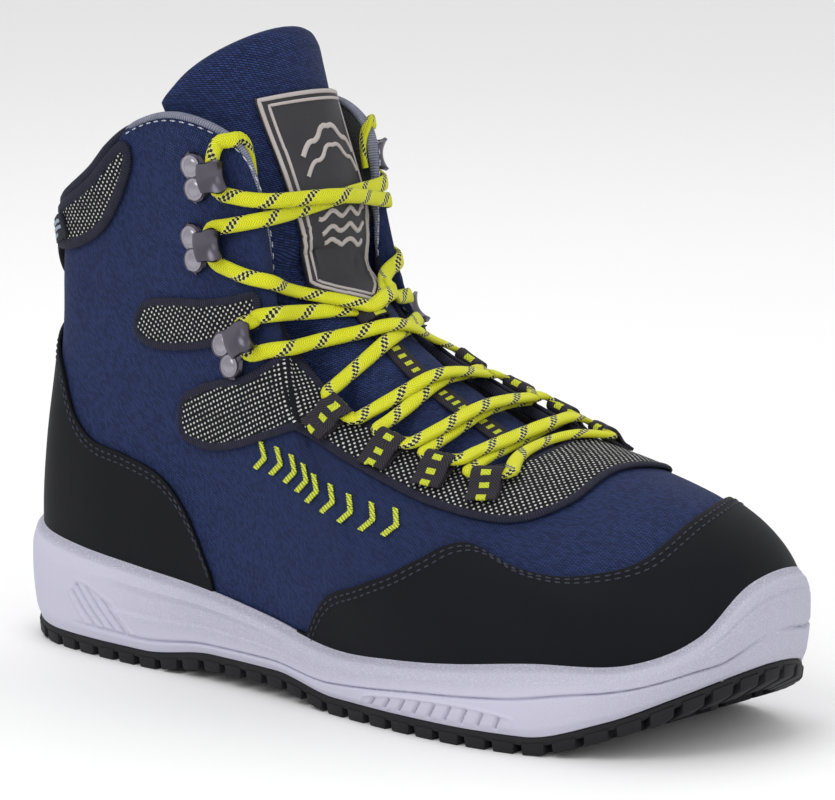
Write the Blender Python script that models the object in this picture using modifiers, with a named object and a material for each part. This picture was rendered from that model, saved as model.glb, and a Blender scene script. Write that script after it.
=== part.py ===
"""A right wading boot: lugged outsole, moulded midsole cup, hollow textile upper, tongue and lacing.

Metres, +Z up. +X points from heel to toe, and the outer side of the foot faces -Y.
The origin is on the ground under the middle of the heel. Lengths along the boot are worked out
from the back of the heel, and every object is then placed by the same step back, HEEL_REST.
"""
import math
from collections import namedtuple

import bmesh
import bpy
from mathutils import Matrix, Vector
from mathutils.bvhtree import BVHTree

# Driving dimensions, in metres
SOLE_LENGTH = 0.312
FOOT_WIDTH = 0.101
COLLAR_HEIGHT = 0.194
RIM_HEIGHT = 0.047
BED_HEIGHT = 0.025
TOE_SPRING = 0.024
HEEL_REST = 0.048
UPPER_WALL = 0.0030
OVERLAY_WALL = 0.0012
INSOLE_THICKNESS = 0.0040
TONGUE_THICKNESS = 0.0045
SLAB_THICKNESS = 0.0027
LUG_HEIGHT = 0.0032
LUG_INSET = 0.0016
WALL_BULGE = 0.0060
LIP_WIDTH = 0.0022
GROOVE_DEPTH = 0.0012
BAND_DEPTH = 0.0011
RIB_WIDTH = 0.0011
RIB_DEPTH = 0.0012
LACE_DIAMETER = 0.0040
LOOP_WIDTH = 0.0130
LOOP_HEIGHT = 0.0155
LOOP_THICKNESS = 0.0018
HOOK_SHEET = 0.0012
HOOK_HEIGHT = 0.0165
HOOK_REACH = 0.0115
HOOK_CURL = 0.0030
HOOK_NARROWING = 0.54
RIVET_DIAMETER = 0.0062
RIVET_SPACING = 0.0080
RIVET_RISE = 0.0018
BADGE_HALF_WIDTH = 0.0245
BADGE_THICKNESS = 0.0018
KEEPER_WIDTH = 0.0150
KEEPER_HEIGHT = 0.0080
PULL_WIDTH = 0.0140
PULL_SHEET = 0.0018
PULL_LENGTH = 0.0250
PULL_DEPTH = 0.0085
LABEL_WIDTH = 0.0120
LABEL_HEIGHT = 0.0090
LABEL_THICKNESS = 0.0014
CLEARANCE = 0.0006
GAP = 0.0003

Section = namedtuple(
    "Section",
    "foot_x foot_out foot_in top_x top_out top_in top_z top_z_in"
    " side_at side_full shoulder_at shoulder_full rim_out rim_in",
)
# Sections of the upper, from the back of the heel to the toe tip. foot_x and top_x are shares of
# SOLE_LENGTH; foot_out, foot_in, top_out, top_in, side_full and shoulder_full of FOOT_WIDTH; top_z
# and top_z_in of COLLAR_HEIGHT; side_at and shoulder_at of the line from foot to top; rim_out and
# rim_in of RIM_HEIGHT.
SECTIONS = (
    Section(0.016, 0.000, 0.000, 0.042, 0.000, 0.000, 0.785, 0.785, 0.33, -0.015, 0.66, -0.030, 0.96, 0.96),
    Section(0.031, 0.165, 0.160, 0.056, 0.165, 0.165, 0.795, 0.795, 0.33, 0.005, 0.66, -0.020, 0.93, 0.93),
    Section(0.072, 0.290, 0.275, 0.094, 0.285, 0.285, 0.825, 0.825, 0.33, 0.020, 0.66, -0.015, 0.86, 0.86),
    Section(0.145, 0.350, 0.335, 0.155, 0.350, 0.350, 0.880, 0.880, 0.33, 0.015, 0.66, -0.030, 0.80, 0.80),
    Section(0.240, 0.372, 0.345, 0.225, 0.388, 0.388, 0.968, 0.968, 0.33, 0.005, 0.66, -0.040, 0.74, 0.75),
    Section(0.345, 0.380, 0.330, 0.305, 0.392, 0.392, 0.998, 0.998, 0.33, 0.010, 0.66, -0.020, 0.67, 0.70),
    Section(0.450, 0.405, 0.340, 0.380, 0.330, 0.330, 0.945, 0.945, 0.33, 0.038, 0.66, 0.012, 0.57, 0.64),
    Section(0.555, 0.450, 0.390, 0.400, 0.275, 0.275, 0.810, 0.815, 0.33, 0.055, 0.66, 0.038, 0.46, 0.57),
    Section(0.660, 0.485, 0.455, 0.410, 0.265, 0.270, 0.660, 0.685, 0.33, 0.070, 0.66, 0.062, 0.49, 0.54),
    Section(0.765, 0.480, 0.500, 0.480, 0.262, 0.270, 0.540, 0.585, 0.33, 0.088, 0.66, 0.092, 0.55, 0.56),
    Section(0.860, 0.400, 0.500, 0.575, 0.258, 0.272, 0.470, 0.525, 0.28, 0.115, 0.62, 0.122, 0.63, 0.64),
    Section(0.928, 0.265, 0.435, 0.668, 0.215, 0.250, 0.438, 0.480, 0.22, 0.175, 0.54, 0.172, 0.68, 0.82),
    Section(0.964, 0.080, 0.320, 0.703, 0.130, 0.175, 0.438, 0.462, 0.17, 0.200, 0.48, 0.215, 0.86, 1.12),
    Section(0.978, -0.120, 0.120, 0.712, -0.020, 0.020, 0.448, 0.448, 0.15, 0.200, 0.45, 0.235, 1.16, 1.16),
)
LAST_SECTION = len(SECTIONS) - 1
LOOP_STATIONS = 2 * LAST_SECTION

Sole = namedtuple("Sole", "along lift bed")
# The sole along its length: along is a share of SOLE_LENGTH, lift (how far the tread is off the
# ground) a share of TOE_SPRING, bed (the floor of the midsole cup) a share of BED_HEIGHT.
SOLE_PROFILE = (
    Sole(0.00, 0.28, 1.08),
    Sole(0.05, 0.05, 1.00),
    Sole(0.10, 0.00, 0.97),
    Sole(0.25, 0.00, 0.93),
    Sole(0.36, 0.16, 0.87),
    Sole(0.46, 0.16, 0.80),
    Sole(0.56, 0.00, 0.70),
    Sole(0.70, 0.00, 0.63),
    Sole(0.82, 0.00, 0.67),
    Sole(0.90, 0.28, 0.86),
    Sole(0.96, 0.66, 1.08),
    Sole(1.00, 1.00, 1.28),
)


def between(rows, column, key, value):
    """A column of a table at value of its key column, along a smooth curve that never overshoots."""
    keys = [getattr(row, key) for row in rows]
    values = [getattr(row, column) for row in rows]
    value = min(max(value, keys[0]), keys[-1])
    i = min(max(sum(k <= value for k in keys) - 1, 0), len(keys) - 2)
    rates = [(b - a) / (v - u) for a, b, u, v in zip(values, values[1:], keys, keys[1:])]
    slopes = []
    for j in (i, i + 1):
        before, after = rates[max(j - 1, 0)], rates[min(j, len(rates) - 1)]
        slopes.append(2 * before * after / (before + after) if before * after > 0 else 0.0)
    step = keys[i + 1] - keys[i]
    t = (value - keys[i]) / step
    return (
        values[i] * (1 + 2 * t) * (1 - t) ** 2
        + values[i + 1] * t * t * (3 - 2 * t)
        + step * (slopes[0] * t * (1 - t) ** 2 - slopes[1] * t * t * (1 - t))
    )


def eased_step(a, b, c, d, t):
    """A value t of the way from b to c, on a smooth curve through four evenly spaced values."""
    return b + 0.5 * t * (c - a + t * (2 * a - 5 * b + 4 * c - d + t * (3 * (b - c) + d - a)))


def round_loop(values, station):
    """Values at whole stations round the boot, read between them along a closed smooth curve."""
    i = math.floor(station)
    return eased_step(*(values[(i + k) % len(values)] for k in (-1, 0, 1, 2)), station - i)


def loop_values(outer, inner=None):
    """A table's column laid round the boot: outer side from heel to toe, inner side back to the heel."""
    there = [outer(row) for row in SECTIONS]
    back = [(inner or outer)(row) for row in SECTIONS]
    return there + back[-2:0:-1]


def tread_lift(x):
    return TOE_SPRING * between(SOLE_PROFILE, "lift", "along", x / SOLE_LENGTH)


def bed_height(x):
    return BED_HEIGHT * between(SOLE_PROFILE, "bed", "along", x / SOLE_LENGTH)


FOOT_X = loop_values(lambda row: row.foot_x * SOLE_LENGTH)
FOOT_Y = loop_values(lambda row: -row.foot_out * FOOT_WIDTH, lambda row: row.foot_in * FOOT_WIDTH)
TOP_X = loop_values(lambda row: row.top_x * SOLE_LENGTH)
TOP_Y = loop_values(lambda row: -row.top_out * FOOT_WIDTH, lambda row: row.top_in * FOOT_WIDTH)
TOP_Z = loop_values(lambda row: row.top_z * COLLAR_HEIGHT, lambda row: row.top_z_in * COLLAR_HEIGHT)
SIDE_AT = loop_values(lambda row: row.side_at)
SIDE_FULL = loop_values(lambda row: row.side_full * FOOT_WIDTH)
SHOULDER_AT = loop_values(lambda row: row.shoulder_at)
SHOULDER_FULL = loop_values(lambda row: row.shoulder_full * FOOT_WIDTH)
RIM = loop_values(lambda row: row.rim_out * RIM_HEIGHT, lambda row: row.rim_in * RIM_HEIGHT)


def foot_point(station):
    x = round_loop(FOOT_X, station)
    return Vector((x, round_loop(FOOT_Y, station), bed_height(x) + GAP))


def top_point(station):
    return Vector((round_loop(values, station) for values in (TOP_X, TOP_Y, TOP_Z)))


def outward(station):
    """Level direction square to the foot's outline, away from the foot."""
    ahead, behind = foot_point(station + 0.25), foot_point(station - 0.25)
    along = ahead - behind
    return Vector((along.y, -along.x, 0)).normalized()


def skin(station, rise):
    """Outer face of the upper: rise runs from 0 at the foot bed to 1 at the top line."""
    foot, top = foot_point(station), top_point(station)
    chord = top - foot
    line = chord.normalized()
    level = outward(station)
    full = (level - line * level.dot(line)).normalized()
    at = [0.0, round_loop(SIDE_AT, station), round_loop(SHOULDER_AT, station), 1.0]
    points = [
        foot,
        foot + chord * at[1] + full * round_loop(SIDE_FULL, station),
        foot + chord * at[2] + full * round_loop(SHOULDER_FULL, station),
        top,
    ]
    lengths = [0.0]
    for a, b in zip(points, points[1:]):
        lengths.append(lengths[-1] + (b - a).length)
    knots = [length / lengths[-1] for length in lengths]
    found = Vector()
    for i, point in enumerate(points):
        weight = 1.0
        for j, knot in enumerate(knots):
            if j != i:
                weight *= (rise - knot) / (knots[i] - knot)
        found += point * weight
    return found


def skin_normal(station, rise):
    step_s, step_r = 0.05, 0.01
    low, high = max(rise - step_r, 0.0), min(rise + step_r, 1.0)
    along = skin(station + step_s, rise) - skin(station - step_s, rise)
    up = skin(station, high) - skin(station, low)
    return along.cross(up).normalized()


def on_skin(station, rise, out=0.0):
    """A point on the upper's outer face, moved out from it."""
    return skin(station, rise) + skin_normal(station, rise) * out


def rise_at_height(station, height):
    """How far up the upper's face a section reaches a height."""
    low, high = 0.0, 0.6
    for _ in range(24):
        middle = (low + high) / 2
        low, high = (middle, high) if skin(station, middle).z < height else (low, middle)
    return (low + high) / 2


Side = namedtuple("Side", "station groove depth band")
# The side of the midsole from heel to toe: groove is how far up the wall the long groove runs, depth a
# share of GROOVE_DEPTH, and band, a share of BAND_DEPTH, how far the panel above it is set in.
MIDSOLE_SIDES = (
    Side(0.0, 0.16, 0.0, 0.0),
    Side(2.8, 0.15, 0.0, 0.0),
    Side(3.5, 0.15, 1.0, 0.2),
    Side(4.0, 0.15, 1.0, 1.0),
    Side(5.0, 0.16, 1.0, 1.0),
    Side(6.0, 0.22, 1.0, 0.6),
    Side(6.8, 0.30, 1.0, 0.1),
    Side(7.6, 0.42, 1.0, 0.0),
    Side(8.6, 0.53, 1.0, 0.0),
    Side(10.0, 0.56, 1.0, 0.0),
    Side(11.5, 0.50, 1.0, 0.0),
    Side(12.2, 0.36, 1.0, 0.0),
    Side(12.7, 0.38, 0.5, 0.0),
    Side(13.0, 0.40, 0.0, 0.0),
)
Bulge = namedtuple("Bulge", "up out")
# How far the midsole's wall stands out: out is a share of WALL_BULGE, up runs from tread to rim.
MIDSOLE_WALL = (
    Bulge(0.00, 0.70),
    Bulge(0.15, 0.92),
    Bulge(0.45, 1.00),
    Bulge(0.75, 0.93),
    Bulge(0.92, 0.66),
    Bulge(1.00, 0.36),
)

TongueRow = namedtuple("TongueRow", "up centre_x centre_z wing_x wing_z wing_y tilt")
# The tongue from its root under the vamp to its top: x is a share of SOLE_LENGTH, z of COLLAR_HEIGHT,
# wing_y of FOOT_WIDTH. tilt raises the inner side for each metre across.
TONGUE_ROWS = (
    TongueRow(0.00, 0.756, 0.428, 0.750, 0.392, 0.22, 0.10),
    TongueRow(0.12, 0.692, 0.450, 0.680, 0.402, 0.26, 0.15),
    TongueRow(0.24, 0.625, 0.492, 0.609, 0.433, 0.29, 0.20),
    TongueRow(0.36, 0.561, 0.536, 0.542, 0.464, 0.31, 0.20),
    TongueRow(0.47, 0.500, 0.597, 0.468, 0.515, 0.33, 0.14),
    TongueRow(0.56, 0.460, 0.675, 0.410, 0.598, 0.34, 0.06),
    TongueRow(0.66, 0.430, 0.775, 0.353, 0.732, 0.34, 0.02),
    TongueRow(0.78, 0.391, 0.902, 0.295, 0.876, 0.36, 0.00),
    TongueRow(0.89, 0.359, 1.021, 0.256, 0.969, 0.37, 0.00),
    TongueRow(1.00, 0.330, 1.160, 0.237, 1.046, 0.37, 0.00),
)
WING_SWEEP = math.radians(75)

Edge = namedtuple("Edge", "low_at low high_at high")
# Overlays are cut between two lines on the upper. low_at and high_at are stations, low and high are
# rises, and a low of 0 is the midsole's rim.
TOE_RAND = (
    Edge(6.45, 0, 6.45, 0),
    Edge(7.2, 0, 7.1, 0.15),
    Edge(8.1, 0, 8.0, 0.26),
    Edge(9.0, 0, 8.8, 0.37),
    Edge(9.7, 0, 9.5, 0.48),
    Edge(10.2, 0, 10.0, 0.56),
    Edge(10.6, 0, 10.4, 0.58),
    Edge(11.0, 0, 10.7, 0.49),
    Edge(11.6, 0, 11.2, 0.42),
    Edge(12.2, 0, 11.9, 0.40),
    Edge(13.0, 0, 13.0, 0.46),
    Edge(13.8, 0, 14.0, 0.50),
    Edge(14.6, 0, 14.9, 0.46),
    Edge(15.3, 0, 15.5, 0.50),
    Edge(15.9, 0, 16.0, 0.55),
    Edge(16.6, 0, 16.7, 0.46),
    Edge(17.6, 0, 17.7, 0.32),
    Edge(18.7, 0, 18.8, 0.20),
    Edge(19.5, 0, 19.5, 0),
)
HEEL_COUNTER = (
    Edge(-5.15, 0, -5.10, 0.09),
    Edge(-4.9, 0, -4.8, 0.20),
    Edge(-4.5, 0, -4.4, 0.27),
    Edge(-3.8, 0, -3.8, 0.31),
    Edge(-3.2, 0, -3.2, 0.35),
    Edge(-2.7, 0, -2.7, 0.42),
    Edge(-2.1, 0, -2.1, 0.56),
    Edge(-1.2, 0, -1.2, 0.66),
    Edge(0.0, 0, 0.0, 0.71),
    Edge(1.2, 0, 1.2, 0.66),
    Edge(2.1, 0, 2.1, 0.56),
    Edge(2.7, 0, 2.7, 0.42),
    Edge(3.2, 0, 3.2, 0.35),
    Edge(3.8, 0, 3.8, 0.31),
    Edge(4.5, 0, 4.4, 0.27),
    Edge(4.9, 0, 4.8, 0.20),
    Edge(5.15, 0, 5.10, 0.09),
)
LACE_STAY = (
    Edge(4.75, 0.36, 4.75, 0.43),
    Edge(5.3, 0.355, 5.2, 0.47),
    Edge(6.1, 0.42, 6.0, 0.535),
    Edge(7.1, 0.55, 6.9, 0.68),
    Edge(8.0, 0.68, 7.7, 0.82),
    Edge(8.7, 0.75, 8.5, 0.955),
    Edge(9.5, 0.77, 9.5, 0.975),
    Edge(10.3, 0.73, 10.4, 0.975),
    Edge(11.1, 0.68, 11.3, 0.975),
    Edge(12.0, 0.69, 12.2, 0.975),
    Edge(13.0, 0.73, 13.0, 0.975),
    Edge(14.0, 0.69, 13.8, 0.975),
    Edge(14.9, 0.68, 14.7, 0.975),
    Edge(15.7, 0.73, 15.6, 0.975),
    Edge(16.5, 0.77, 16.5, 0.975),
    Edge(17.3, 0.75, 17.5, 0.955),
    Edge(18.0, 0.68, 18.3, 0.82),
    Edge(18.9, 0.55, 19.1, 0.68),
    Edge(19.9, 0.42, 20.0, 0.535),
    Edge(20.7, 0.355, 20.8, 0.47),
    Edge(21.25, 0.36, 21.25, 0.43),
)
ANKLE_BAND = (
    Edge(3.95, 0.565, 3.95, 0.60),
    Edge(4.2, 0.545, 4.15, 0.625),
    Edge(4.6, 0.535, 4.6, 0.625),
    Edge(5.2, 0.555, 5.2, 0.635),
    Edge(5.8, 0.61, 5.8, 0.68),
    Edge(6.2, 0.655, 6.2, 0.73),
)
COLLAR_PANEL = (
    Edge(-3.95, 0.935, -3.95, 0.975),
    Edge(-3.6, 0.88, -3.6, 0.975),
    Edge(-3.2, 0.855, -3.2, 0.975),
    Edge(-2.4, 0.86, -2.4, 0.975),
    Edge(-1.5, 0.89, -1.5, 0.975),
    Edge(0.0, 0.90, 0.0, 0.975),
    Edge(1.5, 0.89, 1.5, 0.975),
    Edge(2.4, 0.86, 2.4, 0.975),
    Edge(3.2, 0.855, 3.2, 0.975),
    Edge(3.6, 0.88, 3.6, 0.975),
    Edge(3.95, 0.935, 3.95, 0.975),
)

ON_STAY = OVERLAY_WALL + 2 * CLEARANCE
Place = namedtuple("Place", "station rise turn seat")
# Where the lace is held, from the toe up, on the outer side; the inner side mirrors it. turn is in
# degrees, and seat how far a holder stands off the upper's face.
LOOP_PLACES = (
    Place(11.0, 0.83, 0, ON_STAY),
    Place(10.4, 0.87, 0, ON_STAY),
    Place(9.75, 0.88, 0, ON_STAY),
    Place(8.85, 0.85, 0, ON_STAY),
)
HOOK_PLACES = (
    Place(5.62, 0.555, 48, ON_STAY),
    Place(5.05, 0.74, 0, CLEARANCE),
    Place(5.15, 0.885, 0, CLEARANCE),
)
LABEL_PLACE = (1.9, 0.92)


COLUMNS_PER_STATION = 3
COLUMNS = LOOP_STATIONS * COLUMNS_PER_STATION
UPPER_ROWS = 9
# Base colour, roughness and metallic of each finish
FINISHES = {
    "navy_cloth": ((0.020, 0.035, 0.105), 0.85, 0.0),
    "black_rubberised": ((0.012, 0.013, 0.020), 0.55, 0.0),
    "moulded_foam": ((0.52, 0.51, 0.62), 0.75, 0.0),
    "tread_rubber": ((0.015, 0.015, 0.016), 0.70, 0.0),
    "dark_mesh": ((0.055, 0.055, 0.060), 0.90, 0.0),
    "webbing": ((0.025, 0.024, 0.026), 0.85, 0.0),
    "badge_rubber": ((0.10, 0.10, 0.11), 0.60, 0.0),
    "hook_metal": ((0.52, 0.52, 0.54), 0.32, 1.0),
    "lace_cord": ((0.72, 0.75, 0.09), 0.75, 0.0),
}


def material(name):
    """The shared material of that name, made the first time it is asked for."""
    found = bpy.data.materials.get(name)
    if found:
        return found
    colour, roughness, metallic = FINISHES[name]
    found = bpy.data.materials.new(name)
    found.use_nodes = True
    shader = found.node_tree.nodes["Principled BSDF"]
    shader.inputs["Base Color"].default_value = (*colour, 1)
    shader.inputs["Roughness"].default_value = roughness
    shader.inputs["Metallic"].default_value = metallic
    found.diffuse_color = (*colour, 1)
    return found


def add_object(name, mesh, finish):
    """Put a mesh in the scene, with the boot's origin under the middle of its heel."""
    mesh.materials.clear()
    mesh.materials.append(material(finish))
    mesh.shade_smooth()
    mesh.set_sharp_from_angle(angle=math.radians(40))
    piece = bpy.data.objects.new(name, mesh)
    piece.location.x = -HEEL_REST
    bpy.data.collections["wading_boot"].objects.link(piece)
    return piece


def grid_mesh(name, rows, closed=False):
    """A sheet through rows of points; closed joins each row's end to its start."""
    mesh = bpy.data.meshes.new(name)
    width = len(rows[0])
    steps = width if closed else width - 1
    faces = []
    for j in range(len(rows) - 1):
        for i in range(steps):
            k = (i + 1) % width
            faces.append((j * width + i, j * width + k, (j + 1) * width + k, (j + 1) * width + i))
    mesh.from_pydata([point for row in rows for point in row], [], faces)
    return mesh


def solidify(piece, thickness, inwards=True):
    wall = piece.modifiers.new("wall", "SOLIDIFY")
    wall.thickness = thickness
    wall.offset = -1 if inwards else 1
    return piece


def cross_filled(mesh_name, rings, mid_points=0):
    """A closed solid through rings that run round the foot; the first and last are filled across.

    Point i of a ring lies straight across from point -i, so strips between them follow the sole's
    length. mid_points splits the first ring's strips, and those faces are returned for the tread.
    """
    bm = bmesh.new()
    grid = [[bm.verts.new(point) for point in ring] for ring in rings]
    count = len(rings[0])
    half = count // 2
    for low, high in zip(grid, grid[1:]):
        for i in range(count):
            k = (i + 1) % count
            bm.faces.new((low[i], low[k], high[k], high[i]))
    strips = {}
    for ring, split, flip in ((grid[0], mid_points, True), (grid[-1], 0, False)):
        lines = []
        for i in range(half + 1):
            near, far = ring[i], ring[-i]
            if i in (0, half):
                lines.append([near])
                continue
            middle = []
            for j in range(1, split + 1):
                middle.append(bm.verts.new(near.co.lerp(far.co, j / (split + 1))))
            lines.append([near, *middle, far])
        for i in range(half):
            a, b = lines[i], lines[i + 1]
            for j in range(max(len(a), len(b)) - 1):
                corners = [a[min(j, len(a) - 1)], b[min(j, len(b) - 1)]]
                corners += [b[min(j + 1, len(b) - 1)], a[min(j + 1, len(a) - 1)]]
                corners = list(dict.fromkeys(corners))
                face = bm.faces.new(corners if flip else corners[::-1])
                if split:
                    strips[(i, j)] = face
    bmesh.ops.recalc_face_normals(bm, faces=bm.faces)
    return bm, strips


def finish_bmesh(bm, name):
    mesh = bpy.data.meshes.new(name)
    bm.to_mesh(mesh)
    bm.free()
    return mesh


def stations(count=COLUMNS):
    return [i * LOOP_STATIONS / count for i in range(count)]


def rim_height(station):
    return round_loop(RIM, station)


def rim_rise(station):
    return rise_at_height(station, rim_height(station))


def side_share(station, column):
    """A value of the midsole's side, the same on both sides of the foot."""
    return between(MIDSOLE_SIDES, column, "station", min(station, LOOP_STATIONS - station))


def wall_bulge(up):
    return WALL_BULGE * between(MIDSOLE_WALL, "out", "up", up)


def sole_edge(station):
    """The outline of the sole at the tread, level."""
    foot = foot_point(station)
    edge = foot + outward(station) * wall_bulge(0)
    return Vector((edge.x, edge.y, 0))


def wall_point(station, up, out=0.0):
    """A point on the midsole's outer wall, up being its share of the height from tread to rim."""
    low = sole_edge(station) - outward(station) * wall_bulge(0)
    low.z = tread_lift(sole_edge(station).x) + LUG_HEIGHT + SLAB_THICKNESS + GAP
    high = on_skin(station, rim_rise(station), CLEARANCE)
    return low.lerp(high, up) + outward(station) * (wall_bulge(up) + out)


def wall_rows(station):
    """Shares of the wall's height and how far each stands out, with the groove and the set-in band."""
    groove = side_share(station, "groove")
    depth = side_share(station, "depth") * GROOVE_DEPTH
    band = side_share(station, "band") * BAND_DEPTH
    return (
        (0.0, 0.0),
        (groove * 0.45, 0.0),
        (groove - 0.035, 0.0),
        (groove, -depth),
        (groove + 0.035, 0.0),
        (groove + (1 - groove) * 0.34, 0.0),
        (groove + (1 - groove) * 0.38, -band),
        (groove + (1 - groove) * 0.70, -band),
        (groove + (1 - groove) * 0.76, 0.0),
        (0.95, 0.0),
        (1.0, LIP_WIDTH - wall_bulge(1.0)),
    )


def make_midsole():
    around = stations()
    rings = []
    for row in range(len(wall_rows(0.0))):
        rings.append([wall_point(s, *wall_rows(s)[row]) for s in around])
    for share, out in ((1.0, CLEARANCE), (0.6, 2 * CLEARANCE), (0.25, 2 * CLEARANCE)):
        rings.append([on_skin(s, rim_rise(s) * share, out) for s in around])
    floor = []
    for s in around:
        point = on_skin(s, 0.0, 2 * CLEARANCE)
        point.z = bed_height(point.x)
        floor.append(point)
    rings.append(floor)
    bm, _ = cross_filled("midsole", rings)
    piece = add_object("midsole", finish_bmesh(bm, "midsole"), "moulded_foam")
    cut_ribs(piece)
    return piece


Ribs = namedtuple("Ribs", "count start end low high lean")
# The ribbed pockets in the midsole's side: start and end are stations, low and high shares of the
# wall's height, and lean the stations by which a rib's top is ahead of its foot.
RIBS = (
    Ribs(4, 3.25, 3.95, 0.18, 0.62, -0.45),
    Ribs(9, 7.55, 9.35, 0.10, 0.36, 0.16),
)


def cut_ribs(midsole):
    """Cut the slits between the ribs of the pockets, on both sides."""
    cutters = bpy.data.collections["cutters"]
    bm = bmesh.new()
    for group in RIBS:
        for i in range(group.count):
            share = (i + 0.5) / group.count
            fall = 1 - abs(2 * share - 1) ** 2 * 0.45
            station = group.start + (group.end - group.start) * share
            top = group.low + (group.high - group.low) * fall
            for side in (1, -1):
                ends = []
                for at, up in ((station, group.low), (station + group.lean * fall, top)):
                    ends.append(wall_point(at if side > 0 else LOOP_STATIONS - at, up))
                middle = (ends[0] + ends[1]) / 2
                out = outward(station if side > 0 else LOOP_STATIONS - station)
                along = (ends[1] - ends[0]).normalized()
                across = out.cross(along).normalized()
                out = along.cross(across).normalized()
                turn = Matrix((along, across, out)).transposed().to_4x4()
                size = Matrix.Diagonal(((ends[1] - ends[0]).length, RIB_WIDTH, 2 * RIB_DEPTH, 1))
                place = Matrix.Translation(middle) @ turn @ size
                bmesh.ops.create_cube(bm, size=1, matrix=place)
    cutter = bpy.data.objects.new("rib_cutter", finish_bmesh(bm, "rib_cutter"))
    cutter.location.x = -HEEL_REST
    cutter.hide_render = True
    cutter.display_type = "WIRE"
    cutters.objects.link(cutter)
    cut = midsole.modifiers.new("ribs", "BOOLEAN")
    cut.object = cutter
    cut.operation = "DIFFERENCE"
    cut.solver = "EXACT"


TREAD_DIVISIONS = 5
EDGE_STRIPS = (0, TREAD_DIVISIONS - 1)
CENTRE_STRIP = TREAD_DIVISIONS // 2
# Near the heel's back and the toe tip the strips are short, and two of them make one lug.
SHORT_STRIPS = 5


def lug_groups(strips):
    """Faces of the tread that make a lug each: a row along each edge and staggered ones between."""
    last = COLUMNS // 2 - 1
    groups = []
    for (i, j), face in strips.items():
        from_end = min(i, last - i)
        if len(face.verts) < 4:
            continue
        if from_end < SHORT_STRIPS:
            follower = strips.get((i + 1, j))
            if j in (*EDGE_STRIPS, CENTRE_STRIP) and from_end % 2 == 1 and i < last - 1:
                groups.append([face, follower] if len(follower.verts) == 4 else [face])
        elif j in EDGE_STRIPS or (i + 2 * (j - CENTRE_STRIP)) % 4 == 1:
            groups.append([face])
    return groups


def make_outsole():
    """A thin slab with lugs drawn down from it."""
    around = stations()
    low, high = [], []
    for s in around:
        edge = sole_edge(s)
        lift = tread_lift(edge.x)
        low.append(edge + Vector((0, 0, lift + LUG_HEIGHT)))
        high.append(edge + Vector((0, 0, lift + LUG_HEIGHT + SLAB_THICKNESS)))
    bm, strips = cross_filled("outsole", [low, high], TREAD_DIVISIONS - 1)
    for group in lug_groups(strips):
        bmesh.ops.inset_region(bm, faces=group, thickness=LUG_INSET, use_even_offset=True)
        drawn = bmesh.ops.extrude_face_region(bm, geom=group)["geom"]
        bmesh.ops.delete(bm, geom=group, context="FACES")
        for vert in drawn:
            if isinstance(vert, bmesh.types.BMVert):
                vert.co.z = tread_lift(vert.co.x)
    bmesh.ops.recalc_face_normals(bm, faces=bm.faces)
    return add_object("outsole", finish_bmesh(bm, "outsole"), "tread_rubber")


def make_insole():
    around = stations()
    rings = []
    for thickness in (0.0, INSOLE_THICKNESS):
        ring = []
        for s in around:
            foot = foot_point(s) - outward(s) * (UPPER_WALL + 3 * CLEARANCE)
            ring.append(Vector((foot.x, foot.y, bed_height(foot.x) + CLEARANCE + thickness)))
        rings.append(ring)
    bm, _ = cross_filled("insole", rings)
    return add_object("insole", finish_bmesh(bm, "insole"), "dark_mesh")


def upper_sheet():
    rows = []
    for j in range(UPPER_ROWS + 1):
        rows.append([skin(s, j / UPPER_ROWS) for s in stations()])
    return rows


def make_upper():
    mesh = grid_mesh("upper", upper_sheet(), closed=True)
    return solidify(add_object("upper", mesh, "navy_cloth"), UPPER_WALL)


def sheet_tree(rows, closed=False):
    """A search tree on a sheet through rows of points."""
    width = len(rows[0])
    steps = width if closed else width - 1
    faces = []
    for j in range(len(rows) - 1):
        for i in range(steps):
            k = (i + 1) % width
            faces.append((j * width + i, j * width + k, (j + 1) * width + k, (j + 1) * width + i))
    return BVHTree.FromPolygons([point for row in rows for point in row], faces)


TONGUE_UPS = 18
TONGUE_ACROSS = 12
TUCK_REACH = 0.006


def tucked(point, tree):
    """Move a point inwards until it clears the inside of the upper's wall."""
    need = UPPER_WALL + 5 * CLEARANCE
    for _ in range(3):
        near, normal, _, distance = tree.find_nearest(point)
        above = (point - near).dot(normal)
        beside = (point - near - normal * above).length
        if above < 0 and distance < need:
            point = near + (point - near) * (need / distance)
        elif above >= 0 and beside < TUCK_REACH:
            point = point - normal * (above + need * (1 - (beside / TUCK_REACH) ** 2))
    return point


def tongue_point(up, across):
    """A point on the tongue's front before it is tucked in; across runs from -1 outside to 1 inside."""
    read = {name: between(TONGUE_ROWS, name, "up", up) for name in TongueRow._fields[1:]}
    sweep = WING_SWEEP * across
    back = (1 - math.cos(sweep)) / (1 - math.cos(WING_SWEEP))
    y = read["wing_y"] * FOOT_WIDTH * math.sin(sweep) / math.sin(WING_SWEEP)
    x = SOLE_LENGTH * (read["centre_x"] + (read["wing_x"] - read["centre_x"]) * back)
    z = COLLAR_HEIGHT * (read["centre_z"] + (read["wing_z"] - read["centre_z"]) * back)
    return Vector((x, y, z + read["tilt"] * y))


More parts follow.
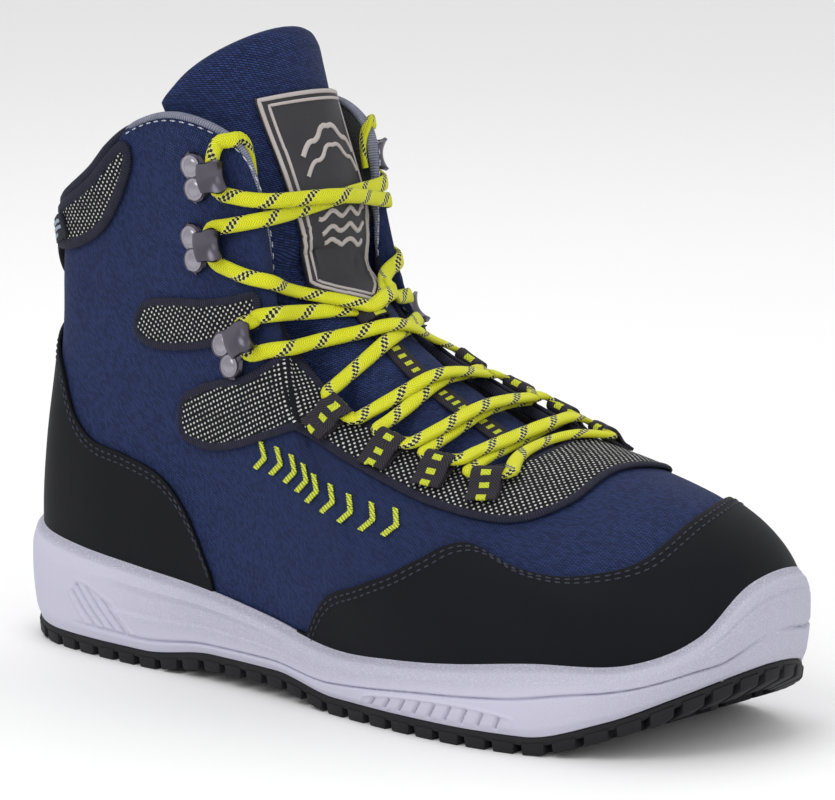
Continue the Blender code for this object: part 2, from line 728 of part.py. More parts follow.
def tongue_sheet():
    """Rows of points on the tongue's front, tucked under the upper and eased."""
    tree = sheet_tree(upper_sheet(), closed=True)
    rows = []
    for j in range(TONGUE_UPS + 1):
        across = [2 * i / TONGUE_ACROSS - 1 for i in range(TONGUE_ACROSS + 1)]
        rows.append([tucked(tongue_point(j / TONGUE_UPS, a), tree) for a in across])
    for _ in range(3):
        eased = [row[:] for row in rows]
        for j in range(1, TONGUE_UPS):
            for i in range(1, TONGUE_ACROSS):
                around = rows[j - 1][i] + rows[j + 1][i] + rows[j][i - 1] + rows[j][i + 1]
                eased[j][i] = rows[j][i] * 0.5 + around * 0.125
        rows = [[tucked(point, tree) for point in row] for row in eased]
    return rows


def make_tongue(rows):
    mesh = grid_mesh("tongue", rows)
    piece = add_object("tongue", mesh, "navy_cloth")
    return solidify(piece, TONGUE_THICKNESS)


def edge_at(rows, t):
    """An overlay's low and high points at t, counted in rows."""
    i = min(int(t), len(rows) - 2)
    part = t - i
    around = [rows[min(max(i + k, 0), len(rows) - 1)] for k in (-1, 0, 1, 2)]
    return Edge(*(eased_step(*values, part) for values in zip(*around)))


def overlay_sheet(rows, steps, rises, out):
    """Rows of points across an overlay, out from the upper's face."""
    sheet = []
    on_rim = all(row.low == 0 for row in rows)
    for j in range(rises + 1):
        line = []
        for i in range(steps + 1):
            edge = edge_at(rows, i * (len(rows) - 1) / steps)
            low = edge.low
            if on_rim:
                low = rise_at_height(edge.low_at, rim_height(edge.low_at) + 2 * CLEARANCE)
            share = j / rises
            at = edge.low_at + (edge.high_at - edge.low_at) * share
            line.append(on_skin(at, low + (max(edge.high, low + 0.015) - low) * share, out))
        sheet.append(line)
    return sheet


def make_overlay(name, rows, steps, rises, finish, out=CLEARANCE, wall=OVERLAY_WALL):
    mesh = grid_mesh(name, overlay_sheet(rows, steps, rises, out))
    return solidify(add_object(name, mesh, finish), wall, inwards=False)


def mirrored(rows):
    """The same overlay on the inner side of the foot."""
    flipped = [Edge(LOOP_STATIONS - r.low_at, r.low, LOOP_STATIONS - r.high_at, r.high) for r in rows]
    return tuple(reversed(flipped))


def skin_frame(station, rise):
    """Axes on the upper: x towards the throat or toe, y up the face, z out."""
    out = skin_normal(station, rise)
    ahead = (skin(station + 0.05, rise) - skin(station - 0.05, rise)).normalized()
    if station > LAST_SECTION:
        ahead = -ahead
    ahead = (ahead - out * ahead.dot(out)).normalized()
    frame = Matrix((ahead, out.cross(ahead), out)).transposed().to_4x4()
    return Matrix.Translation(skin(station, rise)) @ frame


def pad_sheet(tree, frame, width, height, out, cells=(3, 3)):
    """A sheet of that size laid on a sheet of the boot, square to a frame there."""
    sheet = []
    for j in range(cells[1] + 1):
        line = []
        for i in range(cells[0] + 1):
            flat = Vector(((i / cells[0] - 0.5) * width, (j / cells[1] - 0.5) * height, 0))
            near, normal, _, _ = tree.find_nearest(frame @ flat)
            line.append(near + normal * out)
        sheet.append(line)
    return sheet


def loop_frame(place, side):
    """Where a lace loop sits: its x runs along the throat's edge to the toe, its y towards the edge."""
    at = place.station if side == "outer" else LOOP_STATIONS - place.station
    return skin_frame(at, place.rise)


def loop_sheet(tree, place, side, out):
    """Rows of points over a lace loop's place."""
    return pad_sheet(tree, loop_frame(place, side), LOOP_WIDTH, LOOP_HEIGHT, out)


def make_lace_loops(tree):
    """Webbing loops sewn on the lace stay, four on each side."""
    for number, place in enumerate(LOOP_PLACES, 1):
        for side in ("outer", "inner"):
            name = f"lace_loop_{side}_{number}"
            mesh = grid_mesh(name, loop_sheet(tree, place, side, place.seat))
            solidify(add_object(name, mesh, "webbing"), LOOP_THICKNESS, inwards=False)


def hook_mesh():
    """A lace hook: a bent strip, wide at its rivets, curled back at the throat side, with two rivets."""
    curl = []
    for k in range(5):
        turn = math.radians(-90 + 45 * k)
        curl.append((HOOK_REACH + HOOK_CURL * math.cos(turn), HOOK_CURL * (1 + math.sin(turn))))
    profile = [(-RIVET_DIAMETER / 2 - HOOK_SHEET, 0.0), (0.0, 0.0), (HOOK_REACH * 0.5, 0.0), *curl]
    profile.append((HOOK_REACH - HOOK_CURL, 2 * HOOK_CURL))
    rows = []
    for x, z in profile:
        narrow = min(max(x / (HOOK_REACH * 0.5), 0.0), 1.0)
        half = HOOK_HEIGHT / 2 * (1 + (HOOK_NARROWING - 1) * narrow)
        rows.append([Vector((x, half * share, z + HOOK_SHEET / 2)) for share in (-1, 0, 1)])
    mesh = grid_mesh("hook_strip", rows)
    strip = solidify(add_object("hook_strip", mesh, "hook_metal"), HOOK_SHEET)
    strip.modifiers["wall"].offset = 0
    bm = bmesh.new()
    for y in (-RIVET_SPACING / 2, RIVET_SPACING / 2):
        dome = bmesh.ops.create_cone(
            bm, cap_ends=True, segments=8, radius1=RIVET_DIAMETER / 2, radius2=RIVET_DIAMETER / 5,
            depth=RIVET_RISE + HOOK_SHEET / 2,
        )
        middle = HOOK_SHEET / 2 + (RIVET_RISE + HOOK_SHEET / 2) / 2
        bmesh.ops.translate(bm, vec=(0, y, middle), verts=dome["verts"])
    rivets = add_object("hook_rivets", finish_bmesh(bm, "hook_rivets"), "hook_metal")
    return joined("hook", strip, rivets)


def joined(name, first, second):
    """The union of two objects as one mesh; both objects are removed."""
    union = first.modifiers.new("union", "BOOLEAN")
    union.object = second
    union.operation = "UNION"
    union.solver = "EXACT"
    bpy.context.view_layer.update()
    evaluated = first.evaluated_get(bpy.context.evaluated_depsgraph_get())
    mesh = bpy.data.meshes.new_from_object(evaluated)
    mesh.name = name
    for piece in (first, second):
        bpy.data.objects.remove(piece)
    return mesh


def hook_frame(place, side):
    at = place.station if side == "outer" else LOOP_STATIONS - place.station
    turn = Matrix.Rotation(math.radians(place.turn if side == "outer" else -place.turn), 4, "Z")
    return skin_frame(at, place.rise) @ Matrix.Translation((0, 0, place.seat)) @ turn


def make_hooks():
    mesh = hook_mesh()
    for number, place in enumerate(HOOK_PLACES, 1):
        for side in ("outer", "inner"):
            piece = add_object(f"hook_{side}_{number}", mesh, "hook_metal")
            piece.matrix_world = Matrix.Translation((-HEEL_REST, 0, 0)) @ hook_frame(place, side)


def make_side_label(tree):
    """A small woven label sewn over the collar panel, behind the ankle."""
    rows = pad_sheet(tree, skin_frame(*LABEL_PLACE), LABEL_WIDTH, LABEL_HEIGHT, ON_STAY)
    piece = add_object("side_label", grid_mesh("side_label", rows), "webbing")
    return solidify(piece, LABEL_THICKNESS, inwards=False)


def make_pull_loop():
    """A webbing strap folded into a loop, standing off the back of the collar."""
    top = skin(0.0, 0.97)
    back = skin(0.0, 0.80)
    outline = []
    seat = OVERLAY_WALL + 3 * CLEARANCE
    for k in range(13):
        turn = math.radians(90 + 180 * k / 12)
        outline.append((math.cos(turn), math.sin(turn)))
    centre = (top + back) / 2
    half = PULL_LENGTH / 2
    ring = []
    for reach, depth in ((half, PULL_DEPTH), (half - PULL_SHEET, PULL_DEPTH - PULL_SHEET)):
        ring.append([(centre.x - seat + depth * c, centre.z + reach * s) for c, s in outline])
    lean = (top.x - back.x) / (top.z - back.z)
    rows = []
    for y in (-PULL_WIDTH / 2, PULL_WIDTH / 2):
        path = ring[0] + ring[1][::-1]
        rows.append([Vector((x + lean * (z - centre.z) * 0.5, y, z)) for x, z in path])
    bm = bmesh.new()
    sides = [[bm.verts.new(point) for point in row] for row in rows]
    count = len(sides[0])
    for i in range(count):
        k = (i + 1) % count
        bm.faces.new((sides[0][i], sides[0][k], sides[1][k], sides[1][i]))
    bend = len(outline)
    for side, flip in ((sides[0], False), (sides[1], True)):
        for i in range(bend - 1):
            corners = (side[i], side[i + 1], side[count - 2 - i], side[count - 1 - i])
            bm.faces.new(corners if flip else corners[::-1])
    bmesh.ops.recalc_face_normals(bm, faces=bm.faces)
    return add_object("pull_loop", finish_bmesh(bm, "pull_loop"), "webbing")


BadgeRow = namedtuple("BadgeRow", "up half_width")
# The shield on the tongue, from its tip to its top: half_width is a share of BADGE_HALF_WIDTH.
BADGE_ROWS = (
    BadgeRow(0.575, 0.05),
    BadgeRow(0.605, 0.50),
    BadgeRow(0.635, 0.80),
    BadgeRow(0.680, 0.86),
    BadgeRow(0.740, 0.90),
    BadgeRow(0.800, 0.93),
    BadgeRow(0.850, 0.97),
    BadgeRow(0.890, 1.00),
)
BADGE_ACROSS = 8
BADGE_STEPS = 9
ON_TONGUE = 2.5 * CLEARANCE


def tongue_patch(tree, ups, half_widths, out):
    """Rows of points lying on the tongue's front, out from it."""
    sheet = []
    for up, half in zip(ups, half_widths):
        line = []
        for i in range(BADGE_ACROSS + 1):
            wing = between(TONGUE_ROWS, "wing_y", "up", up) * FOOT_WIDTH / math.sin(WING_SWEEP)
            y = half * (2 * i / BADGE_ACROSS - 1)
            guess = tongue_point(up, math.asin(y / wing) / WING_SWEEP)
            near, normal, _, _ = tree.find_nearest(guess)
            line.append(near + normal * out)
        sheet.append(line)
    return sheet


def badge_sheet(tree, out):
    first, last = BADGE_ROWS[0].up, BADGE_ROWS[-1].up
    ups = [first + (last - first) * k / BADGE_STEPS for k in range(BADGE_STEPS + 1)]
    halves = [BADGE_HALF_WIDTH * between(BADGE_ROWS, "half_width", "up", up) for up in ups]
    return tongue_patch(tree, ups, halves, out)


def make_badge(tree):
    mesh = grid_mesh("tongue_badge", badge_sheet(tree, ON_TONGUE))
    return solidify(add_object("tongue_badge", mesh, "badge_rubber"), BADGE_THICKNESS, inwards=False)


KEEPER_UP = 0.535


def make_keeper(tree):
    step = KEEPER_HEIGHT / (1.5 * COLLAR_HEIGHT)
    ups = [KEEPER_UP + step * (k / 3 - 0.5) for k in range(4)]
    sheet = tongue_patch(tree, ups, [KEEPER_WIDTH / 2] * 4, ON_TONGUE)
    mesh = grid_mesh("lace_keeper", sheet)
    return solidify(add_object("lace_keeper", mesh, "webbing"), LOOP_THICKNESS, inwards=False)


Strand = namedtuple("Strand", "low high")
# The lace from the toe up. Each crossing joins two holders, counted from the toe: loops 0 to 3, then
# hooks 4 to 6. The first row goes straight across.
STRANDS = (
    Strand(0, 0),
    Strand(0, 1),
    Strand(1, 2),
    Strand(2, 3),
    Strand(3, 4),
    Strand(4, 5),
    Strand(5, 6),
)
# The lowest hook is far below the throat's edge, so its strands follow the upper down to it.
LOW_HOOK = len(LOOP_PLACES)
LACE_STEPS = 7
STRAND_STEP = 0.0065
# Above LEG_FROM a strand is pushed level, away from the upright line at LEG_AXIS along the boot.
LEG_FROM = 0.135
LEG_AXIS = 0.105
# A strand to the upper hooks turns round a corner, this many stations behind the throat's edge.
CORNER = Place(0.35, 0.93, 0, 0)
SHORTEST_STEP = 0.002
SHARPEST_TURN = math.radians(100)
STRAND_OUT = OVERLAY_WALL + LACE_DIAMETER / 2 + 4 * CLEARANCE
SEARCH_HEIGHT = 0.08


def lace_end(holder, side, leaving):
    """Where a strand meets a holder: at a loop's throat edge, or just above or below a hook's curl."""
    up = 1 if side == "outer" else -1
    if holder < len(LOOP_PLACES):
        along = LOOP_WIDTH / 4 * (-1 if leaving else 1)
        rise = LOOP_HEIGHT / 2 + LACE_DIAMETER / 2 + 4 * CLEARANCE
        stand = ON_STAY + LACE_DIAMETER / 2 + 3 * CLEARANCE
        return loop_frame(LOOP_PLACES[holder], side) @ Vector((along, up * rise, stand))
    place = HOOK_PLACES[holder - len(LOOP_PLACES)]
    rise = HOOK_HEIGHT * HOOK_NARROWING / 2 + LACE_DIAMETER / 2 + 2 * CLEARANCE
    stand = LACE_DIAMETER / 2 + 2 * CLEARANCE
    return hook_frame(place, side) @ Vector((HOOK_REACH, up * (rise if leaving else -rise), stand))


def lift_direction(start, end):
    """Square to the run of the throat between two holders, away from the foot."""
    middle = (start + end) / 2
    ups = [row.up for row in TONGUE_ROWS]
    points = [tongue_point(up, 0) for up in ups]
    i = min(range(len(points) - 1), key=lambda k: ((points[k] + points[k + 1]) / 2 - middle).length)
    run = (points[i + 1] - points[i]).normalized()
    return Vector((run.z, 0, -run.x)).normalized()


def throat_leg(start, end, holder, side):
    """Points from near a strand's start to the throat's edge, where the strand is shortest."""
    found = []
    for k in range(55, 121):
        at = k / 10 if side == "outer" else LOOP_STATIONS - k / 10
        edge = on_skin(at, 1.0, STRAND_OUT)
        found.append(((start - edge).length + (end - edge).length, at, edge))
    _, crossing, edge = min(found)
    if holder < LOW_HOOK:
        return [edge]
    if holder > LOW_HOOK:
        behind = crossing - CORNER.station * (1 if side == "outer" else -1)
        return [on_skin(behind, CORNER.rise, STRAND_OUT), edge]
    place = HOOK_PLACES[0]
    hook_at = place.station if side == "outer" else LOOP_STATIONS - place.station
    leg = []
    for share in (0.45, 0.30, 0.15):
        at = crossing + (hook_at - crossing) * share
        leg.append(on_skin(at, 1 + (place.rise - 1) * share, STRAND_OUT))
    return [*leg, edge]


def over_sheets(start, end, trees):
    """The shortest way between two points over the sheets, clear of them by half a lace."""
    lift = lift_direction(start, end)
    clear = LACE_DIAMETER / 2 + 2 * CLEARANCE
    heights = [0.0]
    for k in range(1, LACE_STEPS):
        base = start.lerp(end, k / LACE_STEPS)
        height = 0.0
        for tree in trees:
            hit = tree.ray_cast(base + lift * SEARCH_HEIGHT, -lift)[0]
            if hit:
                height = max(height, (hit - base).dot(lift) + clear)
        heights.append(height)
    heights.append(0.0)
    hull = [0]
    for k in range(1, LACE_STEPS + 1):
        while len(hull) > 1:
            a, b = hull[-2], hull[-1]
            if (heights[b] - heights[a]) * (k - a) > (heights[k] - heights[a]) * (b - a):
                break
            hull.pop()
        hull.append(k)
    path = []
    for k in range(LACE_STEPS + 1):
        i = max(n for n, knot in enumerate(hull[:-1]) if knot <= k)
        a, b = hull[i], hull[i + 1]
        height = heights[a] + (heights[b] - heights[a]) * (k - a) / (b - a)
        path.append(start.lerp(end, k / LACE_STEPS) + lift * height)
    return path


def clear_of(point, trees):
    """Move a strand's point out until the strand clears every sheet near it."""
    need = LACE_DIAMETER / 2 + 3 * CLEARANCE
    for tree in trees:
        near, normal, _, distance = tree.find_nearest(point)
        if distance > need:
            continue
        if (point - near).dot(normal) < 0:
            if point.z > LEG_FROM:
                normal = Vector((point.x - LEG_AXIS, point.y, 0)).normalized()
            point = near + normal * need
        elif distance > 0:
            point = near + (point - near) * (need / distance)
    return point


def divided(points):
    """The same line, with no step longer than STRAND_STEP."""
    found = [points[0]]
    for a, b in zip(points, points[1:]):
        count = math.ceil((b - a).length / STRAND_STEP)
        found += [a.lerp(b, k / count) for k in range(1, count + 1)]
    return found


def without_kinks(path):
    """The line without the points at which it turns sharply or hardly moves on."""
    line = [path[0]]
    for point in path[1:-1]:
        if (point - line[-1]).length > SHORTEST_STEP and (point - path[-1]).length > SHORTEST_STEP:
            line.append(point)
    line.append(path[-1])
    while len(line) > 3:
        turns = [(b - a).angle(c - b) for a, b, c in zip(line, line[1:], line[2:])]
        sharpest = max(range(len(turns)), key=turns.__getitem__)
        if turns[sharpest] < SHARPEST_TURN:
            break
        del line[sharpest + 1]
    return line


def taut_path(strand, sides, trees):
    """A strand from holder to holder: over one edge of the throat, across the tongue, over the other."""
    start = lace_end(strand.low, sides[0], strand.low != strand.high)
    end = lace_end(strand.high, sides[1], False)
    up = throat_leg(start, end, strand.low, sides[0])
    down = throat_leg(end, start, strand.high, sides[1])
    path = [start, *up[:-1], *over_sheets(up[-1], down[-1], trees), *down[-2::-1], end]
    for _ in range(6):
        path = divided(without_kinks(path))
        path = [start, *(clear_of(point, trees) for point in path[1:-1]), end]
    return path


def lace_tube(name, path):
    """A round lace along a path, as a mesh object with closed ends."""
    curve = bpy.data.curves.new(name, "CURVE")
    curve.dimensions = "3D"
    curve.bevel_depth = LACE_DIAMETER / 2
    curve.bevel_resolution = 1
    curve.use_fill_caps = True
    spline = curve.splines.new("POLY")
    spline.points.add(len(path) - 1)
    for point, place in zip(spline.points, path):
        point.co = (*place, 1)
    guide = bpy.data.objects.new(name, curve)
    bpy.context.scene.collection.objects.link(guide)
    bpy.context.view_layer.update()
    evaluated = guide.evaluated_get(bpy.context.evaluated_depsgraph_get())
    mesh = bpy.data.meshes.new_from_object(evaluated)
    bpy.data.objects.remove(guide)
    bm = bmesh.new()
    bm.from_mesh(mesh)
    bmesh.ops.remove_doubles(bm, verts=bm.verts, dist=0.00001)
    bmesh.ops.recalc_face_normals(bm, faces=bm.faces)
    bm.to_mesh(mesh)
    bm.free()
    return add_object(name, mesh, "lace_cord")


def make_laces(trees):
    for number, strand in enumerate(STRANDS, 1):
        name = f"lace_crossing_{number}"
        if strand.low == strand.high:
            lace_tube("lace_bar", taut_path(strand, ("outer", "inner"), trees))
            continue
        paths = [taut_path(strand, sides, trees) for sides in (("outer", "inner"), ("inner", "outer"))]
        add_object(name, joined(name, *(lace_tube(name, path) for path in paths)), "lace_cord")


def laced_over(upper_tree, tongue_tree):
    """Search trees on every sheet that the lace lies over."""
    sheets = [
        overlay_sheet(LACE_STAY, 52, 2, CLEARANCE + OVERLAY_WALL),
        overlay_sheet(ANKLE_BAND, 12, 2, CLEARANCE + OVERLAY_WALL),
        overlay_sheet(mirrored(ANKLE_BAND), 12, 2, CLEARANCE + OVERLAY_WALL),
        badge_sheet(tongue_tree, ON_TONGUE + BADGE_THICKNESS),
    ]
    for place in LOOP_PLACES:
        for side in ("outer", "inner"):
            sheets.append(loop_sheet(upper_tree, place, side, place.seat + LOOP_THICKNESS))
    return [tongue_tree, *(sheet_tree(sheet) for sheet in sheets), upper_tree]


def main():
    for piece in list(bpy.data.objects):
        bpy.data.objects.remove(piece)
    for name in ("wading_boot", "cutters"):
        bpy.context.scene.collection.children.link(bpy.data.collections.new(name))
    make_outsole()
    make_midsole()
    make_insole()
    make_upper()
    tongue_rows = tongue_sheet()
    make_tongue(tongue_rows)
    make_overlay("toe_rand", TOE_RAND, 46, 4, "black_rubberised")
    make_overlay("heel_counter", HEEL_COUNTER, 34, 5, "black_rubberised")
    make_overlay("lace_stay", LACE_STAY, 52, 2, "dark_mesh")
    make_overlay("ankle_band_outer", ANKLE_BAND, 12, 2, "dark_mesh")
    make_overlay("ankle_band_inner", mirrored(ANKLE_BAND), 12, 2, "dark_mesh")
    make_overlay("collar_panel", COLLAR_PANEL, 24, 2, "dark_mesh")
    upper_tree = sheet_tree(upper_sheet(), closed=True)
    make_lace_loops(upper_tree)
    make_hooks()
    make_pull_loop()
    make_side_label(upper_tree)
    tongue_tree = sheet_tree(tongue_rows)
    make_badge(tongue_tree)
    make_keeper(tongue_tree)
    make_laces(laced_over(upper_tree, tongue_tree))
    bpy.context.view_layer.update()


if __name__ == "__main__":
    main()
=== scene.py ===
"""The looks of a right wading boot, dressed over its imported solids.

Metres, +Z up. +X points from heel to toe, and the outer side of the foot faces -Y. Lengths along the
boot are worked out from the back of the heel, and every mesh is then moved back by HEEL_REST.
"""
import logging
import math
from collections.abc import Callable, Sequence
from dataclasses import dataclass
from enum import Enum
from functools import partial

import bmesh
import bpy
import numpy as np
from mathutils import Matrix, Vector
from mathutils.bvhtree import BVHTree


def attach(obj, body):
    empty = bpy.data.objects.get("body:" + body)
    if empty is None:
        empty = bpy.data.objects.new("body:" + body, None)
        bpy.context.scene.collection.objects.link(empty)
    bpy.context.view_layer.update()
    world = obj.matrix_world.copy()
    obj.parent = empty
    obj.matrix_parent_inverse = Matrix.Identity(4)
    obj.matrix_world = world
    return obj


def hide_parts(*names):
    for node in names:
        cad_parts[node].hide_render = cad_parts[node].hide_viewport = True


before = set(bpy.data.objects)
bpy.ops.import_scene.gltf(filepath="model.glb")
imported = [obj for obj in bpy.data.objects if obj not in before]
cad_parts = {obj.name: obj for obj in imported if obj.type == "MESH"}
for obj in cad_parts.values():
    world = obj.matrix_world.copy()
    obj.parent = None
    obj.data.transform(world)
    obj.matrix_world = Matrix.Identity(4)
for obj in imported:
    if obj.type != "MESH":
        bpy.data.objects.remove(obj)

LOG = logging.getLogger("wading_boot")
Array = np.ndarray

# Driving sizes of the solids, in metres
SOLE_LENGTH = 0.312
FOOT_WIDTH = 0.101
COLLAR_HEIGHT = 0.194
RIM_HEIGHT = 0.047
BED_HEIGHT = 0.025
TOE_SPRING = 0.024
HEEL_REST = 0.048
UPPER_WALL = 0.0030
OVERLAY_WALL = 0.0012
SLAB_THICKNESS = 0.0027
LUG_HEIGHT = 0.0032
CLEARANCE = 0.0006
ON_STAY = OVERLAY_WALL + 2 * CLEARANCE
MM = 0.001

# Sections of the upper from the back of the heel to the toe tip, as in the part's source: shares of
# SOLE_LENGTH, FOOT_WIDTH, COLLAR_HEIGHT, of the line from foot to top, and of RIM_HEIGHT.
SECTION_COLUMNS = (
    "foot_x", "foot_out", "foot_in", "top_x", "top_out", "top_in", "top_z", "top_z_in",
    "side_at", "side_full", "shoulder_at", "shoulder_full", "rim_out", "rim_in",
)
SECTIONS = np.array((
    (0.016, 0.000, 0.000, 0.042, 0.000, 0.000, 0.785, 0.785, 0.33, -0.015, 0.66, -0.030, 0.96, 0.96),
    (0.031, 0.165, 0.160, 0.056, 0.165, 0.165, 0.795, 0.795, 0.33, 0.005, 0.66, -0.020, 0.93, 0.93),
    (0.072, 0.290, 0.275, 0.094, 0.285, 0.285, 0.825, 0.825, 0.33, 0.020, 0.66, -0.015, 0.86, 0.86),
    (0.145, 0.350, 0.335, 0.155, 0.350, 0.350, 0.880, 0.880, 0.33, 0.015, 0.66, -0.030, 0.80, 0.80),
    (0.240, 0.372, 0.345, 0.225, 0.388, 0.388, 0.968, 0.968, 0.33, 0.005, 0.66, -0.040, 0.74, 0.75),
    (0.345, 0.380, 0.330, 0.305, 0.392, 0.392, 0.998, 0.998, 0.33, 0.010, 0.66, -0.020, 0.67, 0.70),
    (0.450, 0.405, 0.340, 0.380, 0.330, 0.330, 0.945, 0.945, 0.33, 0.038, 0.66, 0.012, 0.57, 0.64),
    (0.555, 0.450, 0.390, 0.400, 0.275, 0.275, 0.810, 0.815, 0.33, 0.055, 0.66, 0.038, 0.46, 0.57),
    (0.660, 0.485, 0.455, 0.410, 0.265, 0.270, 0.660, 0.685, 0.33, 0.070, 0.66, 0.062, 0.49, 0.54),
    (0.765, 0.480, 0.500, 0.480, 0.262, 0.270, 0.540, 0.585, 0.33, 0.088, 0.66, 0.092, 0.55, 0.56),
    (0.860, 0.400, 0.500, 0.575, 0.258, 0.272, 0.470, 0.525, 0.28, 0.115, 0.62, 0.122, 0.63, 0.64),
    (0.928, 0.265, 0.435, 0.668, 0.215, 0.250, 0.438, 0.480, 0.22, 0.175, 0.54, 0.172, 0.68, 0.82),
    (0.964, 0.080, 0.320, 0.703, 0.130, 0.175, 0.438, 0.462, 0.17, 0.200, 0.48, 0.215, 0.86, 1.12),
    (0.978, -0.120, 0.120, 0.712, -0.020, 0.020, 0.448, 0.448, 0.15, 0.200, 0.45, 0.235, 1.16, 1.16),
))
LAST_SECTION = len(SECTIONS) - 1
ROUND = 2 * LAST_SECTION
# The sole along its length: share of SOLE_LENGTH, lift as a share of TOE_SPRING, bed of BED_HEIGHT
SOLE_PROFILE = np.array((
    (0.00, 0.28, 1.08), (0.05, 0.05, 1.00), (0.10, 0.00, 0.97), (0.25, 0.00, 0.93),
    (0.36, 0.16, 0.87), (0.46, 0.16, 0.80), (0.56, 0.00, 0.70), (0.70, 0.00, 0.63),
    (0.82, 0.00, 0.67), (0.90, 0.28, 0.86), (0.96, 0.66, 1.08), (1.00, 1.00, 1.28),
))
# The midsole's side: station, how far up its groove runs, the groove's depth, the set-in band's depth
MIDSOLE_SIDES = np.array((
    (0.0, 0.16, 0.0, 0.0), (2.8, 0.15, 0.0, 0.0), (3.5, 0.15, 1.0, 0.2), (4.0, 0.15, 1.0, 1.0),
    (5.0, 0.16, 1.0, 1.0), (6.0, 0.22, 1.0, 0.6), (6.8, 0.30, 1.0, 0.1), (7.6, 0.42, 1.0, 0.0),
    (8.6, 0.53, 1.0, 0.0), (10.0, 0.56, 1.0, 0.0), (11.5, 0.50, 1.0, 0.0), (12.2, 0.36, 1.0, 0.0),
    (12.7, 0.38, 0.5, 0.0), (13.0, 0.40, 0.0, 0.0),
))
# How far the midsole's wall stands out from tread to rim, as a share of its bulge
MIDSOLE_WALL = np.array((
    (0.00, 0.70), (0.15, 0.92), (0.45, 1.00), (0.75, 0.93), (0.92, 0.66), (1.00, 0.36),
))
# The tongue from its root to its top: up, centre x and z, wing x, z and y, and tilt
TONGUE_ROWS = np.array((
    (0.00, 0.756, 0.428, 0.750, 0.392, 0.22, 0.10), (0.12, 0.692, 0.450, 0.680, 0.402, 0.26, 0.15),
    (0.24, 0.625, 0.492, 0.609, 0.433, 0.29, 0.20), (0.36, 0.561, 0.536, 0.542, 0.464, 0.31, 0.20),
    (0.47, 0.500, 0.597, 0.468, 0.515, 0.33, 0.14), (0.56, 0.460, 0.675, 0.410, 0.598, 0.34, 0.06),
    (0.66, 0.436, 0.775, 0.357, 0.732, 0.34, 0.02), (0.78, 0.402, 0.902, 0.303, 0.876, 0.36, 0.00),
    (0.89, 0.375, 1.018, 0.269, 0.967, 0.37, 0.00), (1.00, 0.350, 1.148, 0.254, 1.036, 0.37, 0.00),
))
WING_SWEEP = math.radians(75)
# Overlays between two lines on the upper: low_at, low, high_at, high; a low of 0 is the midsole's rim
TOE_RAND = np.array((
    (6.45, 0, 6.45, 0), (7.2, 0, 7.1, 0.15), (8.1, 0, 8.0, 0.26), (9.0, 0, 8.8, 0.37),
    (9.7, 0, 9.5, 0.48), (10.2, 0, 10.0, 0.56), (10.6, 0, 10.4, 0.58), (11.0, 0, 10.7, 0.49),
    (11.6, 0, 11.2, 0.42), (12.2, 0, 11.9, 0.40), (13.0, 0, 13.0, 0.46), (13.8, 0, 14.0, 0.50),
    (14.6, 0, 14.9, 0.46), (15.3, 0, 15.5, 0.50), (15.9, 0, 16.0, 0.55), (16.6, 0, 16.7, 0.46),
    (17.6, 0, 17.7, 0.32), (18.7, 0, 18.8, 0.20), (19.5, 0, 19.5, 0),
))
COUNTER_HALF = (
    (0.0, 0, 0.0, 0.71), (1.2, 0, 1.2, 0.66), (2.1, 0, 2.1, 0.56), (2.7, 0, 2.7, 0.42),
    (3.2, 0, 3.2, 0.35), (3.8, 0, 3.8, 0.31), (4.5, 0, 4.4, 0.27), (4.9, 0, 4.8, 0.20),
    (5.15, 0, 5.10, 0.09),
)
STAY_HALF = (
    (4.75, 0.36, 4.75, 0.43), (5.3, 0.355, 5.2, 0.47), (6.1, 0.42, 6.0, 0.535),
    (7.1, 0.55, 6.9, 0.68), (8.0, 0.68, 7.7, 0.82), (8.7, 0.75, 8.5, 0.955), (9.5, 0.77, 9.5, 0.975),
    (10.3, 0.73, 10.4, 0.975), (11.1, 0.68, 11.3, 0.975), (12.0, 0.69, 12.2, 0.975),
    (13.0, 0.73, 13.0, 0.975),
)
ANKLE_BAND = (
    (3.95, 0.565, 3.95, 0.60), (4.2, 0.545, 4.15, 0.625), (4.6, 0.535, 4.6, 0.625),
    (5.2, 0.555, 5.2, 0.635), (5.8, 0.61, 5.8, 0.68), (6.2, 0.655, 6.2, 0.73),
)
PANEL_HALF = (
    (0.0, 0.90, 0.0, 0.975), (1.5, 0.89, 1.5, 0.975), (2.4, 0.86, 2.4, 0.975),
    (3.2, 0.855, 3.2, 0.975), (3.6, 0.88, 3.6, 0.975), (3.95, 0.935, 3.95, 0.975),
)


class Side(Enum):
    """The two sides of the boot."""

    OUTER = "outer"
    INNER = "inner"

    def station(self, outer_station: float) -> float:
        """The station on this side that matches one on the outer side."""
        return outer_station if self is Side.OUTER else ROUND - outer_station

    @property
    def sign(self) -> int:
        """1 on the outer side, -1 on the inner side."""
        return 1 if self is Side.OUTER else -1


def unit(vectors: Array) -> Array:
    """Vectors of length one in the same directions.

    Args:
        vectors: any number of vectors, the last axis being their components.

    Returns:
        The directions, in the same layout.
    """
    return vectors / np.maximum(np.linalg.norm(vectors, axis=-1, keepdims=True), 1e-12)


def spline(a: Array, b: Array, c: Array, d: Array, t: Array) -> Array:
    """Values between b and c, at a share of the way, on a smooth curve through a, b, c and d."""
    return b + 0.5 * t * (c - a + t * (2 * a - 5 * b + 4 * c - d + t * (3 * (b - c) + d - a)))


def eased(values: Array, index: Array, share: Array) -> Array:
    """Read a closed ring of values on a smooth curve.

    Args:
        values: one row for each whole step of the ring.
        index: the whole step below each reading.
        share: how far each reading is on to the next step.

    Returns:
        The readings.
    """
    near = (values[(index + k) % len(values)] for k in (-1, 0, 1, 2))
    return spline(*near, share.reshape(share.shape + (1,) * (values.ndim - 1)))


